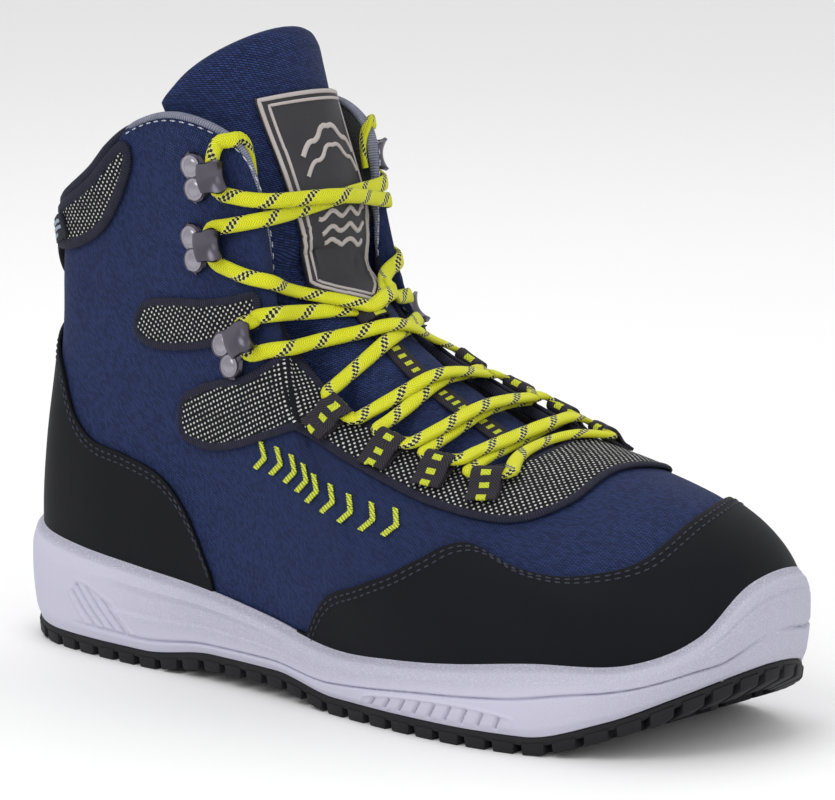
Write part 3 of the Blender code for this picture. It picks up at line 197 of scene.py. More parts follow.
def along_curve(points: Array, at: Array) -> Array:
    """Read an open line of points on a smooth curve.

    Args:
        points: one row for each whole step.
        at: where to read, counted in steps.

    Returns:
        The readings.
    """
    index = np.clip(np.floor(at).astype(int), 0, len(points) - 2)
    share = (at - index)[..., None]
    near = (points[np.clip(index + k, 0, len(points) - 1)] for k in (-1, 0, 1, 2))
    return spline(*near, share.reshape(share.shape + (1,) * (points.ndim - 2)))


def resampled(points: Array, step: float, closed: bool = False) -> Array:
    """A smooth line through points, with evenly spaced points of its own.

    Args:
        points: the points to pass through; values after the first three go with them.
        step: the wanted spacing, in metres.
        closed: whether the line runs on from its end to its start.

    Returns:
        The new points; a closed line's start isn't repeated.
    """
    fine = np.linspace(0, len(points) - (0 if closed else 1), 12 * len(points))
    if closed:
        dense = eased(points, np.floor(fine).astype(int), fine - np.floor(fine))
    else:
        dense = along_curve(points, fine)
    steps = np.linalg.norm(np.diff(dense[:, :3], axis=0), axis=1)
    lengths = np.concatenate([[0], np.cumsum(steps)])
    count = max(int(round(lengths[-1] / step)), 4)
    at = np.linspace(0, lengths[-1], count + 1)
    found = np.stack([np.interp(at, lengths, dense[:, k]) for k in range(dense.shape[1])], axis=-1)
    return found[:-1] if closed else found


@dataclass(frozen=True)
class Curve:
    """A smooth curve through a table's column that never overshoots.

    Attributes:
        keys: the column that is read along, rising.
        values: the column that is read.
    """

    keys: Array
    values: Array

    def at(self, value: Array) -> Array:
        """The curve's values at given keys.

        Args:
            value: the keys.

        Returns:
            The values.
        """
        rates = np.diff(self.values) / np.diff(self.keys)
        before, after = np.append(rates[:1], rates), np.append(rates, rates[-1:])
        total = np.where(before * after > 0, before + after, 1.0)
        slopes = np.where(before * after > 0, 2 * before * after / total, 0.0)
        value = np.clip(value, self.keys[0], self.keys[-1])
        i = np.clip(np.searchsorted(self.keys, value, side="right") - 1, 0, len(self.keys) - 2)
        step = self.keys[i + 1] - self.keys[i]
        t = (value - self.keys[i]) / step
        ends = self.values[i] * (1 + 2 * t) * (1 - t) ** 2 + self.values[i + 1] * t * t * (3 - 2 * t)
        return ends + step * (slopes[i] * t * (1 - t) ** 2 - slopes[i + 1] * t * t * (1 - t))


def bump_at(value: Array, middle: float, width: float) -> Array:
    """A soft hump of height one.

    Args:
        value: where to read it.
        middle: where the hump is highest.
        width: how far from the middle it has nearly gone.

    Returns:
        The hump's height at each value.
    """
    return np.exp(-(((value - middle) / width) ** 2) * 2)


class Form:
    """The outside of the boot: a skin over stations round the foot and rises up to the top line."""

    def __init__(self) -> None:
        """Lay the tables' columns round the boot."""
        columns = dict(zip(SECTION_COLUMNS, SECTIONS.T))

        def ring(outer: Array, inner: Array | None = None) -> Array:
            """A column laid from heel to toe on the outer side and back on the inner side."""
            back = outer if inner is None else inner
            return np.concatenate([outer, back[-2:0:-1]])

        self.foot_ring = np.stack([
            ring(columns["foot_x"]) * SOLE_LENGTH,
            ring(-columns["foot_out"], columns["foot_in"]) * FOOT_WIDTH,
        ], axis=-1)
        self.top_ring = np.stack([
            ring(columns["top_x"]) * SOLE_LENGTH,
            ring(-columns["top_out"], columns["top_in"]) * FOOT_WIDTH,
            ring(columns["top_z"], columns["top_z_in"]) * COLLAR_HEIGHT,
        ], axis=-1)
        self.side_ring = np.stack([
            ring(columns["side_at"]), ring(columns["side_full"]) * FOOT_WIDTH,
            ring(columns["shoulder_at"]), ring(columns["shoulder_full"]) * FOOT_WIDTH,
        ], axis=-1)
        self.rim_ring = ring(columns["rim_out"], columns["rim_in"]) * RIM_HEIGHT
        self.lift = Curve(SOLE_PROFILE[:, 0] * SOLE_LENGTH, SOLE_PROFILE[:, 1] * TOE_SPRING)
        self.bed = Curve(SOLE_PROFILE[:, 0] * SOLE_LENGTH, SOLE_PROFILE[:, 2] * BED_HEIGHT)

    def read(self, values: Array, station: Array) -> Array:
        """Values of a ring at stations round the boot."""
        index = np.floor(station).astype(int)
        return eased(values, index, station - index)

    def foot(self, station: Array) -> Array:
        """Points of the foot's outline on the bed."""
        plan = self.read(self.foot_ring, station)
        return np.concatenate([plan, self.bed.at(plan[..., :1]) + CLEARANCE / 2], axis=-1)

    def outward(self, station: Array) -> Array:
        """Level directions square to the foot's outline, away from the foot."""
        along = self.foot(station + 0.25) - self.foot(station - 0.25)
        flat = np.stack([along[..., 1], -along[..., 0], np.zeros(along.shape[:-1])], axis=-1)
        return unit(flat)

    def skin(self, station: Array, rise: Array) -> Array:
        """Points on the upper's outer face.

        Args:
            station: counted round the foot from the heel's back, outer side first.
            rise: 0 on the foot bed to 1 at the top line.

        Returns:
            One point for each pair.
        """
        station, rise = np.broadcast_arrays(np.asarray(station, float), np.asarray(rise, float))
        foot, top = self.foot(station), self.read(self.top_ring, station)
        chord = top - foot
        line = unit(chord)
        level = self.outward(station)
        full = unit(level - line * np.sum(level * line, axis=-1, keepdims=True))
        side = self.read(self.side_ring, station)[..., None, :]
        points = np.stack([
            foot,
            foot + chord * side[..., 0] + full * side[..., 1],
            foot + chord * side[..., 2] + full * side[..., 3],
            top,
        ])
        lengths = np.cumsum(np.linalg.norm(np.diff(points, axis=0), axis=-1), axis=0)
        knots = np.concatenate([np.zeros((1, *rise.shape)), lengths / lengths[-1]])
        found = np.zeros(foot.shape)
        for i in range(4):
            weight = np.ones(rise.shape)
            for j in range(4):
                if j != i:
                    weight = weight * (rise - knots[j]) / (knots[i] - knots[j])
            found += points[i] * weight[..., None]
        return found

    def normal(self, station: Array, rise: Array) -> Array:
        """Directions square to the upper's outer face, outwards."""
        station, rise = np.broadcast_arrays(np.asarray(station, float), np.asarray(rise, float))
        along = self.skin(station + 0.05, rise) - self.skin(station - 0.05, rise)
        up = self.skin(station, np.minimum(rise + 0.01, 1)) - self.skin(station, np.maximum(rise - 0.01, 0))
        return unit(np.cross(along, up))

    def relief(self, station: Array, rise: Array) -> Array:
        """How far cloth and padding stand off the plain form, in metres."""
        mirror = np.minimum(station % ROUND, ROUND - station % ROUND)
        fade = np.clip((0.97 - rise) / 0.12, 0, 1) * np.clip((rise - 0.25) / 0.15, 0, 1)
        padding = 0.9 * MM * bump_at(rise, 0.82, 0.16) * bump_at(mirror, 1.6, 3.6)
        creases = np.zeros(np.broadcast(station, rise).shape)
        for middle, lean, depth in ((7.35, 1.3, 0.55), (8.15, 1.1, 0.7), (9.05, 0.9, 0.5), (5.6, 2.6, 0.35)):
            line = mirror - middle + lean * (rise - 0.6)
            creases = creases - depth * MM * bump_at(line, 0, 0.22) * bump_at(rise, 0.58, 0.28)
        soft = 0.22 * MM * np.sin(2.1 * mirror + 9 * rise) * np.sin(1.3 * station - 7 * rise + 1.0)
        return fade * (creases + soft) + padding * np.clip((0.985 - rise) / 0.05, 0, 1)

    def over(self, station: Array, rise: Array, out: Array | float = 0.0) -> Array:
        """Points out from the upper's cloth, its padding and creases among it."""
        lifted = np.asarray(out) + self.relief(station, rise)
        return self.skin(station, rise) + self.normal(station, rise) * lifted[..., None]

    def chart(self, station: Array, rise: Array) -> Array:
        """Where points of the skin lie on its UV map, in metres from the toe and from the foot."""
        if not hasattr(self, "charted"):
            ats, ups = np.arange(-ROUND // 2, 3 * ROUND // 2 + 1, 0.1), np.linspace(0, 1, 41)
            points = self.skin(ats[:, None], ups[None, :])
            long = np.cumsum(np.linalg.norm(np.diff(points, axis=0, prepend=points[:1]), axis=-1), axis=0)
            long -= long[np.argmin(np.abs(ats - LAST_SECTION))]
            high = np.cumsum(np.linalg.norm(np.diff(points, axis=1, prepend=points[:, :1]), axis=-1), axis=1)
            self.charted = (ats, np.stack([long, high], axis=-1))
        ats, table = self.charted
        i = np.clip((station - ats[0]) / 0.1, 0, len(ats) - 1.001)
        j = np.clip(rise * 40, 0, 39.999)
        a, b = i.astype(int), j.astype(int)
        s, r = (i - a)[..., None], (j - b)[..., None]
        low = table[a, b] * (1 - r) + table[a, b + 1] * r
        return low * (1 - s) + (table[a + 1, b] * (1 - r) + table[a + 1, b + 1] * r) * s

    def dressed(self, station: Array, rise: Array, out: Array | float = 0.0) -> Array:
        """Points out from the cloth with their places on the UV map after them."""
        return np.concatenate([self.over(station, rise, out), self.chart(station, rise)], axis=-1)

    def even_stations(self, count: int, rise: float) -> Array:
        """Stations that are evenly spaced round the boot at a rise."""
        ats = np.linspace(0, ROUND, 600)
        points = self.skin(ats, rise)
        lengths = np.cumsum(np.linalg.norm(np.diff(points, axis=0, prepend=points[:1]), axis=-1))
        return np.interp(np.linspace(0, lengths[-1], count + 1), lengths, ats)

    def rim_height(self, station: Array) -> Array:
        """Height of the midsole's rim."""
        return self.read(self.rim_ring, station)

    def rise_at(self, station: Array, height: Array) -> Array:
        """How far up the upper's face each section reaches a height."""
        station, height = np.broadcast_arrays(np.asarray(station, float), height)
        low, high = np.zeros(station.shape), np.full(station.shape, 0.6)
        for _ in range(24):
            middle = (low + high) / 2
            below = self.skin(station, middle)[..., 2] < height
            low, high = np.where(below, middle, low), np.where(below, high, middle)
        return (low + high) / 2

    def frame_at(self, station: float, rise: float) -> Matrix:
        """Axes on the upper: x towards the throat or toe, y up the face, z out."""
        at, up = np.array(station), np.array(rise)
        out = Vector(self.normal(at, up))
        ahead = Vector(self.skin(at + 0.05, up) - self.skin(at - 0.05, up)).normalized()
        if station > LAST_SECTION:
            ahead = -ahead
        ahead = (ahead - out * ahead.dot(out)).normalized()
        turn = Matrix((ahead, out.cross(ahead), out)).transposed().to_4x4()
        return Matrix.Translation(self.skin(at, up)) @ turn


FORM = Form()


def mirrored(half: Sequence[Sequence[float]]) -> Array:
    """The same overlay on the inner side of the foot."""
    rows = [(ROUND - a, low, ROUND - b, high) for a, low, b, high in half]
    return np.array(rows[::-1])


def both_sides(half: Sequence[Sequence[float]], at_heel: bool) -> Array:
    """An overlay that runs on from one side to the other.

    Args:
        half: its edges on the outer side, from the heel or towards the toe.
        at_heel: whether it joins behind the heel, and otherwise at the toe.

    Returns:
        The edges of the whole overlay.
    """
    if at_heel:
        back = [(-a, low, -b, high) for a, low, b, high in half[:0:-1]]
        return np.array([*back, *half])
    return np.array([*half, *mirrored(half[:-1])])


def meshed(bm: bmesh.types.BMesh, name: str) -> bpy.types.Mesh:
    """A new mesh of a bmesh, which is freed."""
    mesh = bpy.data.meshes.new(name)
    bm.to_mesh(mesh)
    bm.free()
    return mesh


def grid(
    place: Callable[[Array, Array], Array],
    columns: int,
    rows: int,
    size: tuple[float, float] = (1.0, 1.0),
    lines: Array | None = None,
) -> bpy.types.Mesh:
    """A grid of quads whose points are put in place by their shares across and up.

    Args:
        place: gives the points for shares across and up, each from 0 to 1; where it gives five values
            a point, the last two are its place on the UV map.
        columns: quads across.
        rows: quads up.
        size: the length and width that its UV map stands for, in metres, from the middle.
        lines: the shares across of the grid's lines, where they aren't even.

    Returns:
        The mesh, with a UV map in metres.
    """
    bm = bmesh.new()
    bm.loops.layers.uv.new("UVMap")
    bmesh.ops.create_grid(bm, x_segments=columns, y_segments=rows, size=0.5, calc_uvs=True)
    mesh = meshed(bm, "grid")
    flat = np.empty(len(mesh.vertices) * 3, dtype=np.float32)
    mesh.vertices.foreach_get("co", flat)
    share = flat.reshape(-1, 3)[:, :2].astype(float) + 0.5
    if lines is not None:
        share[:, 0] = np.interp(share[:, 0], np.linspace(0, 1, len(lines)), lines)
    points = place(share[:, 0], share[:, 1])
    mesh.vertices.foreach_set("co", points[:, :3].astype(np.float32).ravel())
    layer = mesh.uv_layers["UVMap"].data
    if points.shape[1] == 5:
        corner = np.empty(len(mesh.loops), dtype=np.int32)
        mesh.loops.foreach_get("vertex_index", corner)
        uv = points[corner, 3:]
    else:
        uv = np.empty(len(layer) * 2, dtype=np.float32)
        layer.foreach_get("uv", uv)
        uv = (uv.reshape(-1, 2) - 0.5) * np.array(size)
    layer.foreach_set("uv", uv.astype(np.float32).ravel())
    mesh.update()
    return mesh


def closed_up(mesh: bpy.types.Mesh, caps: bool = False, sheet: bool = False) -> bpy.types.Mesh:
    """Join a mesh's seam and turn its faces outwards.

    Args:
        mesh: the mesh.
        caps: whether its open ends are filled.
        sheet: whether it is an open sheet, whose faces already point the right way.

    Returns:
        The same mesh.
    """
    bm = bmesh.new()
    bm.from_mesh(mesh)
    bmesh.ops.remove_doubles(bm, verts=bm.verts, dist=2e-6)
    bmesh.ops.dissolve_degenerate(bm, edges=bm.edges, dist=1e-6)
    if caps:
        bmesh.ops.holes_fill(bm, edges=[edge for edge in bm.edges if edge.is_boundary], sides=0)
    if not sheet:
        bmesh.ops.recalc_face_normals(bm, faces=bm.faces)
    bm.to_mesh(mesh)
    bm.free()
    return mesh


def joined(meshes: Sequence[bpy.types.Mesh]) -> bpy.types.Mesh:
    """Several meshes as one; the separate ones are removed."""
    bm = bmesh.new()
    for mesh in meshes:
        bm.from_mesh(mesh)
        bpy.data.meshes.remove(mesh)
    return meshed(bm, "joined")


def lay_flat(mesh: bpy.types.Mesh) -> None:
    """Unwrap a cut of cloth onto its UV map, in metres, so that its pattern isn't stretched."""
    cut = bpy.data.objects.new("cut", mesh)
    bpy.context.scene.collection.objects.link(cut)
    bpy.context.view_layer.objects.active = cut
    cut.select_set(True)
    bpy.ops.object.mode_set(mode="EDIT")
    bpy.ops.mesh.select_all(action="SELECT")
    bpy.ops.uv.unwrap(method="ANGLE_BASED", margin=0)
    bpy.ops.object.mode_set(mode="OBJECT")
    bpy.data.objects.remove(cut)
    layer = mesh.uv_layers.active
    flat = np.empty(len(layer.uv) * 2, dtype=np.float32)
    layer.uv.foreach_get("vector", flat)
    corners = flat.reshape(-1, 2)
    area = 0.0
    for face in mesh.polygons:
        ring = corners[face.loop_start : face.loop_start + face.loop_total]
        x, y = ring[:, 0], ring[:, 1]
        area += abs(float(x @ np.roll(y, -1) - y @ np.roll(x, -1))) / 2
    real = sum(face.area for face in mesh.polygons)
    layer.uv.foreach_set("vector", (flat * math.sqrt(real / area)).astype(np.float32))


def turned_over(mesh: bpy.types.Mesh) -> bpy.types.Mesh:
    """Turn every face of a mesh over."""
    bm = bmesh.new()
    bm.from_mesh(mesh)
    bmesh.ops.reverse_faces(bm, faces=bm.faces)
    bm.to_mesh(mesh)
    bm.free()
    return mesh


def tree_of(sheet: Array, closed: bool = False) -> BVHTree:
    """A search tree on a sheet of points, rows of columns.

    Args:
        sheet: points by row and column.
        closed: whether each row's end joins its start.

    Returns:
        The tree.
    """
    rows, width = sheet.shape[:2]
    quads = []
    for j in range(rows - 1):
        for i in range(width if closed else width - 1):
            k = (i + 1) % width
            quads.append((j * width + i, j * width + k, (j + 1) * width + k, (j + 1) * width + i))
    return BVHTree.FromPolygons([Vector(point) for point in sheet.reshape(-1, 3)], quads)


def laid(tree: BVHTree, at: Matrix, points: Array) -> Array:
    """Lay a flat shape on a sheet of the boot.

    Args:
        tree: the sheet's search tree.
        at: the axes that the shape's points are in, z out from the sheet.
        points: the shape's points, z being their height over the sheet.

    Returns:
        The points on the sheet.
    """
    found = np.empty(points.shape)
    for k, (x, y, z) in enumerate(points):
        near, normal, _, _ = tree.find_nearest(at @ Vector((x, y, 0)))
        found[k] = near + normal * z
    return found


def across_of(path: Array, normals: Array, closed: bool = False) -> tuple[Array, Array]:
    """Directions along and across a path.

    Args:
        path: its points.
        normals: rough directions out from what it lies on.
        closed: whether it runs on from its end to its start.

    Returns:
        The directions out, square to the path, and those across it.
    """
    if closed:
        along = np.roll(path, -1, axis=0) - np.roll(path, 1, axis=0)
    else:
        along = np.gradient(path, axis=0)
    along = unit(along)
    out = unit(normals - along * np.sum(normals * along, axis=1, keepdims=True))
    return out, np.cross(out, along)


def sweep(
    path: Array, normals: Array, section: Array, closed: bool = False, scale: Array | None = None
) -> bpy.types.Mesh:
    """A closed outline carried along a path.

    Args:
        path: the path's points.
        normals: directions out from what the path lies on.
        section: the outline, as distances across and out.
        closed: whether the path is a ring.
        scale: how large the outline is at each point.

    Returns:
        The mesh. Its UV map runs along and round in metres, from the middle of the outline's top.
    """
    out, across = across_of(path, normals, closed)
    if closed:
        path, out, across = (np.concatenate([a, a[:1]]) for a in (path, out, across))
    ring = np.concatenate([section, section[:1]])
    sizes = np.ones(len(path)) if scale is None else scale
    long = np.linalg.norm(np.diff(path, axis=0), axis=1).sum()
    wide = np.linalg.norm(np.diff(ring, axis=0), axis=1).sum()

    def place(u: Array, v: Array) -> Array:
        """Points of the sweep."""
        i = np.rint(u * (len(path) - 1)).astype(int)
        j = np.rint(v * (len(ring) - 1)).astype(int)
        move = across[i] * ring[j, :1] + out[i] * ring[j, 1:]
        return path[i] + move * sizes[i][:, None]

    mesh = grid(place, len(path) - 1, len(ring) - 1, (long, wide))
    return closed_up(mesh, caps=not closed)


def oval(width: float, height: float, sides: int = 12, power: float = 1.0) -> Array:
    """An oval outline that starts at its bottom, so its UV seam is out of sight.

    Args:
        width: its size across.
        height: its size out.
        sides: its number of points.
        power: below 1 for a squarer oval.

    Returns:
        The outline's points.
    """
    turn = -math.pi / 2 + np.arange(sides) * 2 * math.pi / sides
    square = np.stack([np.cos(turn), np.sin(turn)], axis=-1)
    return np.sign(square) * np.abs(square) ** power * np.array((width / 2, height / 2))


@dataclass(frozen=True)
class Stitching:
    """A row of stitches.

    Attributes:
        length: a stitch's length.
        gap: the bare length between two stitches.
        width: the thread's width.
    """

    length: float = 2.3 * MM
    gap: float = 1.0 * MM
    width: float = 0.75 * MM

    def mesh(self, path: Array, normals: Array) -> bpy.types.Mesh:
        """Stitches along a path.

        Args:
            path: the row's points, on the cloth.
            normals: directions out from the cloth.

        Returns:
            All the stitches as one mesh.
        """
        both = resampled(np.concatenate([path, normals], axis=1), self.length + self.gap)
        row, outs = both[:, :3], unit(both[:, 3:])
        bm = bmesh.new()
        for start, end, out in zip(row[:-1], row[1:], outs):
            along = unit(end - start)
            side = np.cross(out, along)
            turn = Matrix((along, side, np.cross(along, side))).transposed().to_4x4()
            size = Matrix.Diagonal((self.length / 2, self.width / 2, self.width * 0.42, 1))
            middle = Matrix.Translation(start + (end - start) / 2 + out * self.width * 0.1)
            bmesh.ops.create_uvsphere(bm, u_segments=6, v_segments=4, radius=1, matrix=middle @ turn @ size)
        return meshed(bm, "stitches")


@dataclass
class Wall:
    """Modifiers that finish a sheet: its thickness, its rounded edges and its smoothing.

    Attributes:
        thickness: the wall's thickness.
        offset: 1 to grow outwards, -1 inwards.
        bevel: the radius of its edges.
        levels: levels of subdivision.
        lining: whether the inner face and rim take the second and third materials.
    """

    thickness: float = 0.0
    offset: float = 1.0
    bevel: float = 0.0
    levels: int = 0
    lining: bool = False

    def dress(self, piece: bpy.types.Object) -> None:
        """Add the modifiers to a piece."""
        if self.thickness:
            wall = piece.modifiers.new("wall", "SOLIDIFY")
            wall.thickness = self.thickness
            wall.offset = self.offset
            if self.lining:
                wall.material_offset = 1
                wall.material_offset_rim = 2
        if self.bevel:
            edge = piece.modifiers.new("edge", "BEVEL")
            edge.width = self.bevel
            edge.segments = 2
            edge.limit_method = "ANGLE"
            edge.angle_limit = math.radians(50)
        if self.levels:
            smooth = piece.modifiers.new("smooth", "SUBSURF")
            smooth.levels = smooth.render_levels = self.levels


def add_piece(
    name: str,
    mesh: bpy.types.Mesh,
    materials: Sequence[bpy.types.Material],
    nodes: Sequence[str] = (),
    wall: Wall | None = None,
    sharp: float = 50,
) -> bpy.types.Object:
    """Put a piece on the boot.

    Args:
        name: the piece's name.
        mesh: its mesh, with lengths from the heel's back.
        materials: its materials.
        nodes: the CAD nodes that it stands for.
        wall: the modifiers that finish it.
        sharp: the angle in degrees past which its edges stay sharp.

    Returns:
        The object.
    """
    mesh.name = name
    mesh.transform(Matrix.Translation((-HEEL_REST, 0, 0)))
    mesh.materials.clear()
    for material in materials:
        mesh.materials.append(material)
    mesh.shade_smooth()
    mesh.set_sharp_from_angle(angle=math.radians(sharp))
    piece = bpy.data.objects.new(name, mesh)
    bpy.context.scene.collection.objects.link(piece)
    if wall is not None:
        wall.dress(piece)
    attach(piece, "root")
    if nodes:
        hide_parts(*nodes)
    LOG.info("%s: %d faces", name, len(mesh.polygons))
    return piece


def colour(code: str) -> tuple[float, float, float, float]:
    """An sRGB hex colour as linear values."""
    parts = [int(code[i : i + 2], 16) / 255 for i in (0, 2, 4)]
    red, green, blue = (c / 12.92 if c <= 0.04045 else ((c + 0.055) / 1.055) ** 2.4 for c in parts)
    return red, green, blue, 1.0


def add_node(
    material: bpy.types.Material,
    kind: str,
    inputs: Sequence[object] | dict[str | int, object] = (),
    output: str | int = 0,
    **settings: object,
) -> bpy.types.NodeSocket:
    """Add a node to a material.

    Args:
        material: the material.
        kind: the node's type, without its ShaderNode prefix.
        inputs: its sockets' values, or the sockets that they are linked from, in order or by name.
        output: the output that is wanted.
        settings: the node's own settings.

    Returns:
        The output's socket, whose node holds the other outputs.
    """
    node = material.node_tree.nodes.new("ShaderNode" + kind)
    for name, value in settings.items():
        setattr(node, name, value)
    for name, value in (inputs if isinstance(inputs, dict) else dict(enumerate(inputs))).items():
        if isinstance(value, bpy.types.NodeSocket):
            material.node_tree.links.new(value, node.inputs[name])
        else:
            node.inputs[name].default_value = value
    return node.outputs[output]


Adder = Callable[..., bpy.types.NodeSocket]
Pattern = tuple[bpy.types.NodeSocket, bpy.types.NodeSocket, float]
# Sockets of a Mix node of colours, and its settings
SHARE, LOW, HIGH = 0, 6, 7
OF_COLOURS = {"output": 2, "data_type": "RGBA"}
# Spacing of the bands of a Wave texture whose scale is 1
WAVE_SPACING = 0.314


@dataclass(frozen=True)
class Finish:
    """What all finishes share; each adds its pattern to it.

    Attributes:
        name: the material's name.
        roughness: its roughness.
        metallic: 1 for metal.
        sheen: the sheen of its loose fibres.
        specular: the specular level, low on cloth, whose yarns shade each other.
    """

    name: str
    roughness: float = 0.8
    metallic: float = 0.0
    sheen: float = 0.0
    specular: float = 0.3

    def material(self) -> bpy.types.Material:
        """The finish's material, made the first time it is asked for."""
        found = bpy.data.materials.get(self.name)
        if found:
            return found
        found = bpy.data.materials.new(self.name)
        found.use_nodes = True
        shader = found.node_tree.nodes["Principled BSDF"]
        shader.inputs["Roughness"].default_value = self.roughness
        shader.inputs["Metallic"].default_value = self.metallic
        shader.inputs["Sheen Weight"].default_value = self.sheen
        shader.inputs["Sheen Roughness"].default_value = 0.5
        shader.inputs["Specular IOR Level"].default_value = self.specular
        tone, height, depth = self.pattern(partial(add_node, found))
        bump = add_node(found, "Bump", {"Distance": depth, "Height": height, "Strength": 1.0})
        found.node_tree.links.new(tone, shader.inputs["Base Color"])
        found.node_tree.links.new(bump, shader.inputs["Normal"])
        return found

    def pattern(self, add: Adder) -> Pattern:
        """Add the finish's own nodes.

        Args:
            add: add_node on the finish's material.

        Returns:
            Its colour, the height of its relief from 0 to 1, and the relief's depth in metres.
        """
        raise NotImplementedError

    def surface(self, add: Adder, scale: float = 1.0, turn: float = 0.0) -> bpy.types.NodeSocket:
        """The piece's own UV map, in metres.

        Args:
            add: add_node on the finish's material.
            scale: what it is multiplied by.
            turn: degrees that it is turned by first.

        Returns:
            The socket.
        """
        flat = add("UVMap", uv_map="UVMap")
        if turn:
            flat = add("Mapping", {"Vector": flat, "Rotation": (0, 0, math.radians(turn))})
        return add("Mapping", {"Vector": flat, "Scale": (scale, scale, 1)})

    def cloudy(self, add: Adder, size: float, detail: float = 3.0) -> bpy.types.NodeSocket:
        """Soft variation over the piece's own place.

        Args:
            add: add_node on the finish's material.
            size: the size of its patches, in metres.
            detail: how many finer layers it has.

        Returns:
            A value from 0 to 1.
        """
        place = add("TexCoord", output="Object")
        return add("TexNoise", {"Vector": place, "Scale": 1 / size, "Detail": detail})

    def herringbone(
        self, add: Adder, spacing: float
    ) -> tuple[Sequence[bpy.types.NodeSocket], bpy.types.NodeSocket]:
        """Ribs along a tape that lean away from its middle.

        Args:
            add: add_node on the finish's material.
            spacing: the spacing of the ribs.

        Returns:
            The places along and across the tape, and the ribs' height from 0 to 1.
        """
        parts = add("SeparateXYZ", (self.surface(add),)).node.outputs
        aside = add("Math", (parts[1],), operation="ABSOLUTE")
        leaning = add("Math", (parts[0], aside), operation="ADD")
        turned = add("Math", (leaning, 2 * math.pi / spacing), operation="MULTIPLY")
        ribs = add("Math", (turned,), operation="SINE")
        return parts, add("Math", (ribs, 0.5, 0.5), operation="MULTIPLY_ADD")


@dataclass(frozen=True)
class WovenCloth(Finish):
    """Plain cloth of thick nylon yarn, woven on the bias: short bright floats on a dark ground.

    Attributes:
        light: colour of the floats on top.
        middle: colour of the floats lower down.
        dark: colour between the yarns.
        float_length: a float's length; real yarn's is about 0.6 mm, drawn coarser so that it shows.
        float_width: a float's width.
        turn: the angle of the weave to the piece.
        gap: width of the dark gaps, as a share of a float's length.
        faded: how much of the colour is soft fading.
        patch: size of the faded patches.
        depth: depth of the weave.
    """

    light: str = "2C3D70"
    middle: str = "1A264B"
    dark: str = "03060D"
    float_length: float = 1.5 * MM
    float_width: float = 0.7 * MM
    turn: float = 58
    gap: float = 0.11
    faded: float = 0.12
    patch: float = 50 * MM
    depth: float = 0.25 * MM

    def pattern(self, add: Adder) -> Pattern:
        """Floats as a pattern of bricks, faded by large soft patches."""
        weave = add("TexBrick", {
            "Vector": self.surface(add, 1 / self.float_length, self.turn), "Color1": colour(self.light),
            "Color2": colour(self.middle), "Mortar": colour(self.dark), "Scale": 1.0,
            "Mortar Size": self.gap, "Mortar Smooth": 0.9, "Bias": -0.15, "Brick Width": 1.0,
            "Row Height": self.float_width / self.float_length,
        }, offset=0.5, offset_frequency=2)
        patches = self.cloudy(add, self.patch)
        fade = add("Mix", {SHARE: patches, LOW: colour(self.dark), HIGH: colour(self.light)}, **OF_COLOURS)
        tone = add("Mix", {SHARE: self.faded, LOW: weave, HIGH: fade}, **OF_COLOURS)
        return tone, add("Math", (1.0, weave.node.outputs[1]), operation="SUBTRACT"), self.depth


@dataclass(frozen=True)
class DottedMesh(Finish):
    """Black knitted mesh over a pale backing that shows through its holes as dots.

    Attributes:
        pitch: spacing of the dots.
        dot: a dot's radius as a share of the pitch.
        blur: width of a dot's soft edge, as a share of the pitch.
        turn: the angle of the rows of dots to the piece.
        pale: colour of the dots.
        ground: colour of the knit.
        fleck: size of the patches in which the backing shows more or less.
        depth: depth of the holes.
    """

    pitch: float = 1.7 * MM
    dot: float = 0.17
    blur: float = 0.10
    turn: float = 38
    pale: str = "C9C9C4"
    ground: str = "14151A"
    fleck: float = 4 * MM
    depth: float = 0.35 * MM

    def pattern(self, add: Adder) -> Pattern:
        """Dots at the cells of an even lattice turned to the bias."""
        at = self.surface(add, 1 / self.pitch, self.turn)
        cells = {"Vector": at, "Scale": 1.0, "Randomness": 0.12}
        far = add("TexVoronoi", cells, "Distance", voronoi_dimensions="2D")
        edge = {"From Min": self.dot, "From Max": self.dot + self.blur, "To Min": 1, "To Max": 0}
        dots = add("MapRange", {"Value": far, **edge})
        worn = add("Math", (dots, self.cloudy(add, self.fleck)), operation="MULTIPLY")
        bright = add("Math", (worn, 1.9), operation="MULTIPLY")
        tone = add("Mix", {SHARE: bright, LOW: colour(self.ground), HIGH: colour(self.pale)}, **OF_COLOURS)
        return tone, far, self.depth


@dataclass(frozen=True)
class KnitTape(Finish):
    """Soft knitted binding tape, with fine ribs across it.

    Attributes:
        light: colour of the ribs.
        dark: colour between them.
        rib: spacing of the ribs.
        fleck: size of the breaks in them.
        depth: depth of the ribs.
    """

    light: str = "34364A"
    dark: str = "191A26"
    rib: float = 0.9 * MM
    fleck: float = 3 * MM
    depth: float = 0.18 * MM

    def pattern(self, add: Adder) -> Pattern:
        """Ribs across the tape, broken by fine noise."""
        bands = {"Vector": self.surface(add), "Scale": WAVE_SPACING / self.rib, "Distortion": 1.2,
                 "Detail": 1, "Detail Scale": 2}
        ribs = add("TexWave", bands, 1, wave_type="BANDS", bands_direction="X")
        share = add("Math", (ribs, self.cloudy(add, self.fleck)), operation="MULTIPLY")
        tone = add("Mix", {SHARE: share, LOW: colour(self.dark), HIGH: colour(self.light)}, **OF_COLOURS)
        return tone, ribs, self.depth


